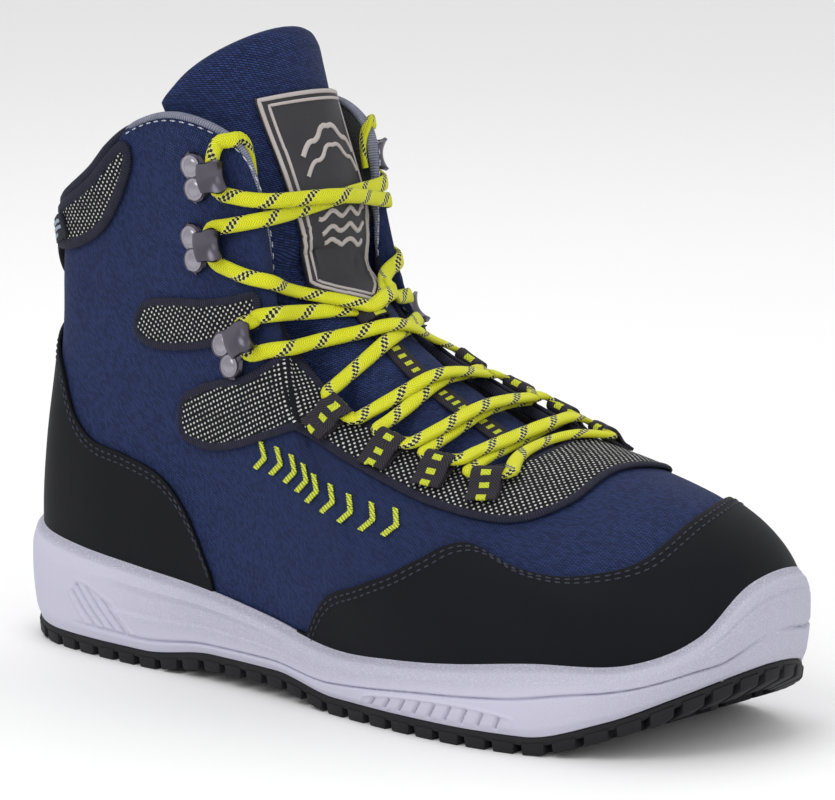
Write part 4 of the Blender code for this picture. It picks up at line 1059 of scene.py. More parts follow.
@dataclass(frozen=True)
class RubberisedSheet(Finish):
    """Smooth rubber-coated fabric, nearly black, with a very fine grain.

    Attributes:
        base: its colour.
        worn: colour of the dusty patches.
        grain: size of its grain.
        patch: size of its dusty patches.
        depth: depth of its grain.
    """

    base: str = "090A10"
    worn: str = "101118"
    grain: float = 0.5 * MM
    patch: float = 30 * MM
    depth: float = 0.08 * MM

    def pattern(self, add: Adder) -> Pattern:
        """Fine grain and faint cloudy wear."""
        grain = self.cloudy(add, self.grain, 4)
        patches = add("Math", (self.cloudy(add, self.patch), grain), operation="MULTIPLY")
        tone = add("Mix", {SHARE: patches, LOW: colour(self.base), HIGH: colour(self.worn)}, **OF_COLOURS)
        return tone, grain, self.depth


@dataclass(frozen=True)
class MouldedFoam(Finish):
    """Pale lavender-grey moulded foam, smooth low down and sandblasted in the mould near its rim.

    Attributes:
        base: its colour.
        speck: colour of the grain's hollows.
        grain: size of the moulded grain.
        hollows: how much the hollows darken it.
        patch: size of its soft patches.
        patches: how much the patches darken it.
        depth: depth of the moulded grain.
    """

    base: str = "C3C1D2"
    speck: str = "8E8C9C"
    grain: float = 0.55 * MM
    hollows: float = 0.42
    patch: float = 40 * MM
    patches: float = 0.12
    depth: float = 0.22 * MM

    def pattern(self, add: Adder) -> Pattern:
        """Grain where the mesh's own attribute asks for it."""
        mask = add("Attribute", output="Fac", attribute_name="grain")
        grain = self.cloudy(add, self.grain, 2)
        sharp = add("MapRange", {"Value": grain, "From Min": 0.42, "From Max": 0.62})
        below = add("Math", (1.0, sharp), operation="SUBTRACT")
        hollow = add("Math", (below, mask), operation="MULTIPLY")
        soft = add("Math", (self.cloudy(add, self.patch), self.patches), operation="MULTIPLY")
        share = add("Math", (hollow, self.hollows, soft), operation="MULTIPLY_ADD")
        tone = add("Mix", {SHARE: share, LOW: colour(self.base), HIGH: colour(self.speck)}, **OF_COLOURS)
        return tone, add("Math", (sharp, mask), operation="MULTIPLY"), self.depth


@dataclass(frozen=True)
class Moulded(Finish):
    """Moulded rubber or metal of one colour, with a faint grain and paler worn patches.

    Attributes:
        base: its colour.
        worn: colour of its worn patches.
        grain: size of its grain.
        patch: size of its worn patches.
        depth: depth of its grain.
    """

    base: str = "1B1B20"
    worn: str = "2B2B31"
    grain: float = 0.7 * MM
    patch: float = 12 * MM
    depth: float = 0.1 * MM

    def pattern(self, add: Adder) -> Pattern:
        """Grain and patches over the piece."""
        patches = self.cloudy(add, self.patch)
        tone = add("Mix", {SHARE: patches, LOW: colour(self.base), HIGH: colour(self.worn)}, **OF_COLOURS)
        return tone, self.cloudy(add, self.grain, 3), self.depth


@dataclass(frozen=True)
class Webbing(Finish):
    """Brown-black woven tape with a herringbone face, and a row of bright dashes down its middle.

    Attributes:
        ground: colour of the tape.
        rib: colour of its raised yarns.
        dash: colour of the dashes.
        dash_shade: colour between the dashes' threads.
        spacing: spacing of its raised yarns.
        pitch: spacing of the dashes along the tape, or 0 for none.
        dash_width: a dash's size across the tape.
        dash_share: how much of the pitch is dash.
        shift: how far the dashes are moved along the tape.
        proud: how far the dashes stand over the ribs, in ribs' heights.
        depth: depth of the ribs.
    """

    ground: str = "17151A"
    rib: str = "36323B"
    dash: str = "D5DE3A"
    dash_shade: str = "A9B224"
    spacing: float = 1.1 * MM
    pitch: float = 0.0
    dash_width: float = 3.4 * MM
    dash_share: float = 0.45
    shift: float = 0.0
    proud: float = 1.4
    depth: float = 0.22 * MM

    def pattern(self, add: Adder) -> Pattern:
        """Herringbone ribs, and the dashes over them."""
        parts, raised = self.herringbone(add, self.spacing)
        tone = add("Mix", {SHARE: raised, LOW: colour(self.ground), HIGH: colour(self.rib)}, **OF_COLOURS)
        if self.pitch:
            shifted = add("Math", (parts[0], self.shift), operation="ADD")
            turns = add("Math", (shifted, self.pitch), operation="DIVIDE")
            phase = add("Math", (turns,), operation="FRACT")
            along = add("Math", (phase, self.dash_share), operation="LESS_THAN")
            aside = add("Math", (parts[1],), operation="ABSOLUTE")
            inside = add("Math", (aside, self.dash_width / 2), operation="LESS_THAN")
            dash = add("Math", (along, inside), operation="MULTIPLY")
            shades = {LOW: colour(self.dash_shade), HIGH: colour(self.dash)}
            thread = add("Mix", {SHARE: raised, **shades}, **OF_COLOURS)
            tone = add("Mix", {SHARE: dash, LOW: tone, HIGH: thread}, **OF_COLOURS)
            raised = add("Math", (dash, self.proud, raised), operation="MULTIPLY_ADD")
        return tone, raised, self.depth


@dataclass(frozen=True)
class LaceCord(Finish):
    """Flat woven polyester lace: bright yellow herringbone with slanted black ticks edged in white.

    Attributes:
        light: colour of the yarn.
        dark: colour between the yarns.
        tick: colour of the ticks.
        edge: colour of their pale edges.
        yarn: spacing of the yarns.
        lane: width of a step of the slanted ticks.
        slant: how far along the lace a tick runs for each step across.
        tick_pitch: spacing of the ticks along the lace.
        ticks: start, length, how strong and whether pale, for each mark of a pitch, in pitches.
        depth: depth of the weave.
    """

    light: str = "E9EC1F"
    dark: str = "C3C612"
    tick: str = "15151A"
    edge: str = "E6E3BE"
    yarn: float = 0.85 * MM
    lane: float = 0.8 * MM
    slant: float = 1.5
    tick_pitch: float = 14.5 * MM
    ticks: tuple[tuple[float, float, float, bool], ...] = (
        (0.02, 0.26, 0.35, True), (0.05, 0.07, 1.0, False), (0.17, 0.07, 1.0, False),
    )
    depth: float = 0.25 * MM

    def pattern(self, add: Adder) -> Pattern:
        """Yarns that lean both ways from the lace's middle, and two slanted ticks at each pitch."""
        parts, raised = self.herringbone(add, self.yarn)
        lane = add("Math", (parts[1], self.lane), operation="SNAP")
        slanted = add("Math", (lane, self.slant, parts[0]), operation="MULTIPLY_ADD")
        turns = add("Math", (slanted, self.tick_pitch), operation="DIVIDE")
        phase = add("Math", (turns,), operation="FRACT")
        tone = add("Mix", {SHARE: raised, LOW: colour(self.dark), HIGH: colour(self.light)}, **OF_COLOURS)
        for start, length, strength, pale in self.ticks:
            after = add("Math", (phase, start), operation="GREATER_THAN")
            before = add("Math", (phase, start + length), operation="LESS_THAN")
            within = add("Math", (after, before), operation="MULTIPLY")
            share = add("Math", (within, strength), operation="MULTIPLY")
            shade = colour(self.edge if pale else self.tick)
            tone = add("Mix", {SHARE: share, LOW: tone, HIGH: shade}, **OF_COLOURS)
        return tone, raised, self.depth


@dataclass(frozen=True)
class Thread(Finish):
    """Twisted sewing or embroidery thread, with a fine twist across each stitch.

    Attributes:
        light: its colour.
        dark: colour in its twist.
        twist: spacing of the twist.
        depth: depth of the twist.
    """

    light: str = "3A3C4C"
    dark: str = "1C1D28"
    twist: float = 0.7 * MM
    depth: float = 0.1 * MM

    def pattern(self, add: Adder) -> Pattern:
        """Twist lines over the stitches."""
        bands = {"Vector": add("TexCoord", output="Object"), "Scale": WAVE_SPACING / self.twist,
                 "Distortion": 0.6, "Detail": 1}
        twist = add("TexWave", bands, 1, bands_direction="DIAGONAL")
        tone = add("Mix", {SHARE: twist, LOW: colour(self.dark), HIGH: colour(self.light)}, **OF_COLOURS)
        return tone, twist, self.depth


# Woven nylon: matt, with short floats that catch the light over dark gaps
NAVY_CLOTH = WovenCloth("navy_woven_nylon", roughness=0.8, sheen=0.03, specular=0.15)
# Brushed polyester lining: dull, with a faint halo of fibres at its edges
LINING_CLOTH = WovenCloth(
    "charcoal_lining_cloth", roughness=0.92, sheen=0.3, light="34353C", middle="26272D", dark="17181C",
    float_length=2.0 * MM, float_width=1.0 * MM,
)
# Knitted mesh: black and matt, with rows of bright dots
MESH_CLOTH = DottedMesh("dotted_black_mesh", roughness=0.85, specular=0.15)
# Knitted tapes: soft, with ribs that break up any highlight
PIPING = KnitTape("navy_grey_piping", roughness=0.82, sheen=0.02, specular=0.15)
GREY_BINDING = KnitTape("pale_grey_binding_tape", roughness=0.8, light="A3A7B8", dark="5D6071")
# Rubber-coated fabric: a broad soft highlight and no weave
RUBBERISED = RubberisedSheet("black_rubberised_fabric", roughness=0.62, specular=0.14)
# Moulded EVA foam: chalky and even, speckled where the mould was sandblasted
FOAM = MouldedFoam("lavender_grey_moulded_foam", roughness=0.72)
# Carbon-black tread rubber: matt, dusty grey on its worn patches
TREAD = Moulded("black_tread_rubber", roughness=0.68, base="101014", worn="1B1B20")
# Woven polyester webbing: a dark herringbone, its dashes woven in bright yarn
TAPE = Webbing("black_herringbone_webbing", roughness=0.82, specular=0.15)
DASHED_TAPE = Webbing("dashed_webbing", roughness=0.82, pitch=4.6 * MM, shift=0.6 * MM)
# Woven polyester lace: smoother than the cloth, so that its yellow stays clear
LACE = LaceCord("yellow_flat_lace", roughness=0.62, sheen=0.05)
# Pressed steel plated in pewter: dark, with soft streaks of light on its bends
PEWTER = Moulded(
    "satin_pewter_plate", roughness=0.3, metallic=1.0, base="66626C", worn="504D57", depth=0.03 * MM
)
# Plated rivet heads: paler than the plate, with a round highlight, each ringed by painted shade
RIVET = Moulded(
    "polished_pewter_rivet", roughness=0.28, metallic=1.0, base="A6A3AD", worn="8B8892", depth=0.02 * MM
)
# Painted shade: the near-black ring round each rivet's dome, where the dome meets the plate
SHADOW = Moulded("painted_shade_rivet_ring", roughness=0.6, base="1A181C", worn="2A272C")
# Injection-moulded badge rubber: satin, with its relief in a paler rubber
BADGE_RUBBER = Moulded("charcoal_badge_rubber", roughness=0.62, base="2A2A2E", worn="36363B")
BADGE_PALE = Moulded("warm_grey_badge_rubber", roughness=0.55, base="B9B1AE", worn="A59D9B", depth=0.05 * MM)
# Sewing and embroidery threads: a little glossier than the cloth under them
SEAM_THREAD = Thread("charcoal_seam_thread", roughness=0.7)
BINDING_THREAD = Thread("pale_binding_thread", roughness=0.7, light="C3C6D2", dark="7D8192")
BRIGHT_THREAD = Thread("yellow_green_thread", roughness=0.5, light="D9E24A", dark="8E9A1C", twist=0.9 * MM)
LABEL_CLOTH = Moulded("dark_label_cloth", roughness=0.8, base="15171F", worn="1D2029")
LABEL_PALE = Moulded("pale_label_weave", roughness=0.7, base="9FA9BC", worn="7F8AA0")


@dataclass
class Overlay:
    """A flat piece sewn on the upper between two lines.

    Attributes:
        name: its name and its CAD node.
        edges: its rows of low and high places.
        slot: not used.
        finish: its finish.
        columns: quads along it.
        rows: quads across it.
        drop: how far it runs down behind the midsole's lip, where its low line is the rim.
        piping_width: width of the piping round it, or 0 for none.
        seams: distances of its rows of stitches in from its top edge.
    """

    name: str
    edges: Array
    slot: str
    finish: Finish
    columns: int = 160
    rows: int = 12
    drop: float = 2.5 * MM
    piping_width: float = 0.0
    seams: tuple[float, ...] = ()

    def at(self, share: Array, up: Array) -> tuple[Array, Array]:
        """Stations and rises of its points.

        Args:
            share: shares along it.
            up: shares from its low to its high line.

        Returns:
            The stations and the rises.
        """
        edge = along_curve(self.edges, share * (len(self.edges) - 1))
        low_at, low, high_at, high = (edge[..., k] for k in range(4))
        if not self.edges[:, 1].any():
            plain = FORM.rise_at(low_at, FORM.rim_height(low_at) + 2 * CLEARANCE)
            low = FORM.rise_at(low_at, FORM.rim_height(low_at) - self.drop)
            high = np.maximum(high, plain + 0.003)
        return low_at + (high_at - low_at) * up, low + (high - low) * up

    def sheet(self, columns: int, rows: int, out: float) -> Array:
        """Rows of points over it.

        Args:
            columns: steps along it.
            rows: steps across it.
            out: how far out from the upper's plain form.

        Returns:
            The points by row and column.
        """
        share, up = np.meshgrid(np.linspace(0, 1, columns + 1), np.linspace(0, 1, rows + 1))
        station, rise = self.at(share, up)
        return FORM.skin(station, rise) + FORM.normal(station, rise) * out

    def build(self) -> None:
        """Make the piece, its piping and its stitches."""
        def place(u: Array, v: Array) -> Array:
            """Points of the overlay."""
            return FORM.dressed(*self.at(u, v), CLEARANCE)

        mesh = closed_up(grid(place, self.columns, self.rows), sheet=True)
        if self.piping_width:
            lay_flat(mesh)
        wall = Wall(OVERLAY_WALL, 1.0, bevel=0.5 * MM)
        add_piece(f"{self.name}_sheet", mesh, [self.finish.material()], [self.name], wall)
        if self.piping_width:
            self.add_piping()
        if self.seams:
            self.add_seams()

    def border(self) -> tuple[Array, Array]:
        """Stations and rises all round it, with rounded corners."""
        run, ends = np.linspace(0, 1, 90), np.linspace(0, 1, 12)[1:-1]
        share = np.concatenate([run, np.ones_like(ends), run[::-1], np.zeros_like(ends)])
        up = np.concatenate([np.zeros_like(run), ends, np.ones_like(run), ends[::-1]])
        station, rise = self.at(share, up)
        ring = np.concatenate([FORM.skin(station, rise), station[:, None], rise[:, None]], axis=1)
        ring = resampled(ring, 1.5 * MM, closed=True)
        for _ in range(6):
            ring = (np.roll(ring, 1, axis=0) + np.roll(ring, -1, axis=0)) / 4 + ring / 2
        return ring[:, 3], ring[:, 4]

    def add_piping(self) -> None:
        """Soft piping all round the edge, with a row of stitches beside it."""
        station, rise = self.border()
        path = FORM.over(station, rise, CLEARANCE + OVERLAY_WALL * 0.6)
        section = oval(self.piping_width, self.piping_width * 0.52, 10, 0.8)
        mesh = sweep(path, FORM.normal(station, rise), section, closed=True)
        add_piece(f"{self.name}_piping", mesh, [PIPING.material()])

    def add_seams(self) -> None:
        """Rows of stitches along its high line."""
        meshes = []
        share = np.linspace(0.01, 0.99, 240)
        station, rise = self.at(share, np.ones(240))
        low_station, low_rise = self.at(share, np.zeros(240))
        height = np.linalg.norm(FORM.skin(station, rise) - FORM.skin(low_station, low_rise), axis=1)
        for inset in self.seams:
            at = self.at(share, 1 - inset / height)
            path = FORM.over(*at, CLEARANCE + OVERLAY_WALL)
            meshes.append(Stitching().mesh(path, FORM.normal(*at)))
        add_piece(f"{self.name}_stitches", joined(meshes), [SEAM_THREAD.material()])


@dataclass
class Upper:
    """The cloth shell of the boot, its lining and the bindings of its top line.

    Attributes:
        columns: quads round the boot.
        rows: quads from the foot to the top line.
        binding_width: width of the pale tape along the collar and throat.
        binding_from: station where the tape starts, above the collar panel.
        binding_to: station where it ends, at the ankle band.
        binding_proud: how much thicker than the upper's wall it is.
        stitch_rise: how far up the upper its stitches run.
        stitch_out: how far they stand off the cloth.
        roll_width: height of the padded roll behind the collar.
        roll_proud: how much thicker than the upper's wall the roll is.
        edge_width: width of the dark tape along the throat.
    """

    columns: int = 440
    rows: int = 72
    binding_width: float = 2.2 * MM
    binding_from: float = 3.8
    binding_to: float = 7.75
    binding_proud: float = 0.9 * MM
    stitch_rise: float = 0.992
    stitch_out: float = 0.75 * MM
    roll_width: float = 4.6 * MM
    roll_proud: float = 2.4 * MM
    edge_width: float = 2.6 * MM

    def build(self) -> None:
        """Make the shell and its bindings."""
        self.add_shell()
        for side in Side:
            self.add_binding(side)
        self.add_collar_roll()
        self.add_throat_edge()

    def add_shell(self) -> None:
        """The shell, cloth outside and lining inside."""
        stations = FORM.even_stations(self.columns, 0.6) / ROUND

        def place(u: Array, v: Array) -> Array:
            """Points of the shell."""
            return FORM.dressed(u * ROUND, v)

        mesh = closed_up(grid(place, self.columns, self.rows, lines=stations), sheet=True)
        wall = Wall(UPPER_WALL, -1.0, lining=True)
        finishes = [NAVY_CLOTH.material(), LINING_CLOTH.material(), PIPING.material()]
        add_piece("upper_shell", mesh, finishes, ["upper"], wall)

    def edging(
        self, name: str, station: Array, section: Array, finish: Finish, taper: float = 0.0,
        least: float = 1.0, rise: float = 0.985,
    ) -> Array:
        """Tape or padding folded over the top line.

        Args:
            name: its piece's name.
            station: the stations that it runs through.
            section: its outline.
            finish: its finish.
            taper: how many of its ends' lengths it is long, where they are drawn in.
            least: its size at its very ends.
            rise: how far up the upper its direction is read.

        Returns:
            The directions out from the cloth along it.
        """
        normals = FORM.normal(station, np.full(len(station), rise))
        path = FORM.skin(station, np.ones(len(station))) - normals * UPPER_WALL / 2
        ramp = np.linspace(0, taper, len(station))
        full = np.minimum(ramp, 1) * np.minimum(ramp[::-1], 1)
        mesh = sweep(path, normals, section, scale=least + (1 - least) * full)
        add_piece(name, mesh, [finish.material()])
        return normals

    def add_binding(self, side: Side) -> None:
        """Pale tape and its stitches on the top line, from the collar panel to the ankle band."""
        ends = side.station(self.binding_from), side.station(self.binding_to)
        station = np.linspace(*ends, 90)
        section = oval(self.binding_width, UPPER_WALL + self.binding_proud, 14, 0.75)
        name = f"collar_binding_{side.value}"
        normals = self.edging(name, station, section, GREY_BINDING, taper=12, least=0.35)
        rows = FORM.skin(station, np.full(90, self.stitch_rise)) + normals * self.stitch_out
        stitches = Stitching(2.6 * MM, 1.3 * MM, 0.6 * MM).mesh(rows[3:-3], normals[3:-3])
        add_piece(f"{name}_stitches", stitches, [BINDING_THREAD.material()])

    def add_collar_roll(self) -> None:
        """A dark padded roll along the back of the collar, over the mesh panel."""
        ends = self.binding_from + 0.2
        section = oval(self.roll_width, UPPER_WALL + self.roll_proud, 16, 0.85)
        self.edging("collar_roll", np.linspace(-ends, ends, 120), section, PIPING, taper=14, least=0.4)

    def add_throat_edge(self) -> None:
        """Dark tape along the throat's edge from one ankle band round the toe end to the other."""
        station = np.linspace(self.binding_to - 0.1, ROUND - self.binding_to + 0.1, 240)
        section = oval(self.edge_width, UPPER_WALL + 1.0 * MM, 12, 0.75)
        self.edging("throat_binding", station, section, PIPING, rise=0.98)


class TongueForm:
    """The tongue's front, tucked under the upper as in the solids."""

    UPS, ACROSS, TUCK_REACH = 18, 12, 0.006

    def __init__(self) -> None:
        """Read the tongue's rows and tuck its front in."""
        names = ("centre_x", "centre_z", "wing_x", "wing_z", "wing_y", "tilt")
        self.rows = {n: Curve(TONGUE_ROWS[:, 0], TONGUE_ROWS[:, k + 1]) for k, n in enumerate(names)}
        stations, rises = np.arange(78) * ROUND / 78, np.arange(10) / 9
        self.upper_tree = tree_of(FORM.skin(stations[None, :], rises[:, None]), closed=True)
        ups = np.linspace(0, 1, self.UPS + 1)[:, None]
        across = np.linspace(-1, 1, self.ACROSS + 1)[None, :]
        front = self.tucked(self.plain(*np.broadcast_arrays(ups, across)))
        for _ in range(3):
            around = front[:-2, 1:-1] + front[2:, 1:-1] + front[1:-1, :-2] + front[1:-1, 2:]
            eased_front = front.copy()
            eased_front[1:-1, 1:-1] = front[1:-1, 1:-1] * 0.5 + around * 0.125
            front = self.tucked(eased_front)
        self.front = front
        fine = np.linspace(0, 1, 91)[:, None], np.linspace(-1, 1, 49)[None, :]
        self.tree = tree_of(self.point(*np.broadcast_arrays(*fine)))

    def plain(self, up: Array, across: Array) -> Array:
        """The front before it is tucked in, across running from -1 outside to 1 inside."""
        read = {name: curve.at(up) for name, curve in self.rows.items()}
        sweep_angle = WING_SWEEP * across
        back = (1 - np.cos(sweep_angle)) / (1 - math.cos(WING_SWEEP))
        y = read["wing_y"] * FOOT_WIDTH * np.sin(sweep_angle) / math.sin(WING_SWEEP)
        x = SOLE_LENGTH * (read["centre_x"] + (read["wing_x"] - read["centre_x"]) * back)
        z = COLLAR_HEIGHT * (read["centre_z"] + (read["wing_z"] - read["centre_z"]) * back)
        return np.stack([x, y, z + read["tilt"] * y], axis=-1)

    def tucked(self, points: Array) -> Array:
        """Points moved inwards until they clear the inside of the upper's wall."""
        need = UPPER_WALL + 5 * CLEARANCE
        found = points.copy()
        for index in np.ndindex(points.shape[:-1]):
            point = Vector(points[index])
            for _ in range(3):
                near, normal, _, distance = self.upper_tree.find_nearest(point)
                above = (point - near).dot(normal)
                beside = (point - near - normal * above).length
                if above < 0 and distance < need:
                    point = near + (point - near) * (need / distance)
                elif above >= 0 and beside < self.TUCK_REACH:
                    point = point - normal * (above + need * (1 - (beside / self.TUCK_REACH) ** 2))
            found[index] = point
        return found

    def point(self, up: Array, across: Array) -> Array:
        """Points on the tucked front."""
        flat_up, flat_across = np.ravel(up), np.ravel(across)
        lines = along_curve(self.front, flat_up * self.UPS)
        at = (flat_across + 1) / 2 * self.ACROSS
        index = np.clip(np.floor(at).astype(int), 0, self.ACROSS - 1)
        pick = np.arange(len(at))
        near = (lines[pick, np.clip(index + k, 0, self.ACROSS)] for k in (-1, 0, 1, 2))
        return spline(*near, (at - index)[:, None]).reshape(*np.shape(up), 3)

    def normal(self, up: Array, across: Array) -> Array:
        """Directions square to the front, outwards."""
        high, low = np.minimum(up + 0.01, 1), np.maximum(up - 0.01, 0)
        right, left = np.minimum(across + 0.03, 1), np.maximum(across - 0.03, -1)
        along = self.point(up, right) - self.point(up, left)
        return unit(np.cross(along, self.point(high, across) - self.point(low, across)))

    def laid(self, up: Array, y: Array, out: Array) -> tuple[Array, Array]:
        """Points lying on the front.

        Args:
            up: how far up the tongue each is.
            y: its distance from the middle, positive inside.
            out: how far out from the front it is.

        Returns:
            The points and the directions out from the front.
        """
        wing = self.rows["wing_y"].at(up) * FOOT_WIDTH / math.sin(WING_SWEEP)
        guesses = self.plain(up, np.arcsin(np.clip(y / wing, -1, 1)) / WING_SWEEP)
        points, normals = np.empty(guesses.shape), np.empty(guesses.shape)
        for index in np.ndindex(guesses.shape[:-1]):
            near, normal, _, _ = self.tree.find_nearest(Vector(guesses[index]))
            points[index] = near + normal * float(np.broadcast_to(out, guesses.shape[:-1])[index])
            normals[index] = normal
        return points, normals


TONGUE = TongueForm()


@dataclass
class Tongue:
    """The padded tongue, the webbing down its middle, its lace keeper and its badge.

    Attributes:
        thickness: its padding and cloth together.
        columns: quads round its section.
        rows: quads along it.
        strip_width: width of the webbing down its middle.
        strip_from: how far up it the webbing starts.
        strip_length: the webbing's length.
        strip_wall: thickness of the webbing.
        seat: how far trim stands off its front.
        keeper_up: how far up it the lace keeper is.
        corner: how much lower its top corners are than its middle, as a share of its length.
        fold: depth of the soft folds in its front.
        fold_pitch: spacing of the folds, as a share of its length.
        crown: how far its padding swells near its top.
        keeper_half: half the keeper's width across the tongue.
        keeper_bulge: how far the keeper stands off, over the lace.
    """

    thickness: float = 4.5 * MM
    columns: int = 120
    rows: int = 170
    strip_width: float = 8.5 * MM
    strip_from: float = 0.10
    strip_length: float = 112 * MM
    strip_wall: float = 1.0 * MM
    seat: float = 0.5 * MM
    keeper_up: float = 0.535
    corner: float = 0.055
    fold: float = 0.6 * MM
    fold_pitch: float = 0.105
    crown: float = 1.2 * MM
    keeper_half: float = 5.5 * MM
    keeper_bulge: float = 3.4 * MM

    def build(self) -> None:
        """Make the tongue and what is sewn on it."""
        self.add_pad()
        self.add_strip()
        self.add_keeper()

    def add_pad(self) -> None:
        """The pad: a front and a back that meet in rounded edges."""
        ends = TONGUE.point(np.array([0.0, 1.0]), np.zeros(2))
        length = np.linalg.norm(ends[1] - ends[0])

        def place(u: Array, v: Array) -> Array:
            """Points of the pad; u runs round its section, from the outer edge over the front."""
            turn = u * 2 * math.pi
            across, face = -np.cos(turn), np.sin(turn)
            across = np.sign(across) * np.abs(across) ** 0.8
            up = v * (1 - self.corner * np.abs(across) ** 6)
            end = np.clip((1 - v) / 0.025, 0, 1) ** 0.5
            depth = np.sign(face) * np.abs(face) ** 0.5 * self.thickness / 2 * np.maximum(end, 0.02)
            folds = self.fold * np.sin(up * 2 * math.pi / self.fold_pitch + 1.2 * across)
            folds = folds * bump_at(up, 0.36, 0.24) * bump_at(across, 0, 0.9) * (face > 0)
            padding = self.crown * bump_at(up, 0.93, 0.1) * (1 - np.abs(across) ** 2) * (face > 0)
            inset = across * 0.985
            out = (depth + folds + padding - self.thickness / 2)[:, None]
            points = TONGUE.point(up, inset) + TONGUE.normal(up, inset) * out
            chart = np.stack([up * length * 1.25, across * 0.037 + (face < 0) * 0.2], axis=-1)
            return np.concatenate([points, chart], axis=1)

        mesh = closed_up(grid(place, self.columns, self.rows), caps=True)
        pad = add_piece("tongue_pad", mesh, [NAVY_CLOTH.material()], ["tongue"])

    def strip(self, steps: int, out: float) -> Array:
        """Rows of points of the webbing down the tongue's middle."""
        across = np.linspace(self.strip_width / 2, -self.strip_width / 2, 5)
        up, y = np.meshgrid(np.linspace(self.strip_from, self.keeper_up, steps + 1), across)
        return TONGUE.laid(up, y, np.full(up.shape, out))[0]

    def add_strip(self) -> None:
        """Dashed webbing down the middle, that the laces cross over."""
        mesh = sheet_mesh(self.strip(100, self.seat), (self.strip_length, self.strip_width))
        wall = Wall(self.strip_wall, 1.0, bevel=0.3 * MM)
        add_piece("tongue_webbing", mesh, [DASHED_TAPE.material()], wall=wall)

    def add_keeper(self) -> None:
        """The lace keeper: a short webbing loop across the middle, bulged over the lace."""
        half = self.keeper_half
        ys = np.linspace(half, -half, 25)
        rise = self.keeper_bulge * (1 - np.abs(ys / half) ** 4)
        up, y = np.meshgrid(self.keeper_up + np.linspace(-0.016, 0.016, 5), ys)
        points, _ = TONGUE.laid(up, y, self.seat + 0.6 * MM + np.broadcast_to(rise[:, None], up.shape))
        mesh = sheet_mesh(points, (2 * half, 8 * MM))
        wall = Wall(1.3 * MM, 1.0, bevel=0.35 * MM)
        add_piece("keeper_loop", mesh, [DASHED_TAPE.material()], ["lace_keeper"], wall)


def sheet_mesh(sheet: Array, size: tuple[float, float]) -> bpy.types.Mesh:
    """A mesh through points by row and column, its faces turned to the side that they run round.

    Args:
        sheet: the points.
        size: the length and width of its UV map, along a row and up the rows.

    Returns:
        The mesh.
    """
    rows, columns = sheet.shape[0] - 1, sheet.shape[1] - 1

    def place(u: Array, v: Array) -> Array:
        """The sheet's own points."""
        return sheet[np.rint(v * rows).astype(int), np.rint(u * columns).astype(int)]

    return grid(place, columns, rows, size)


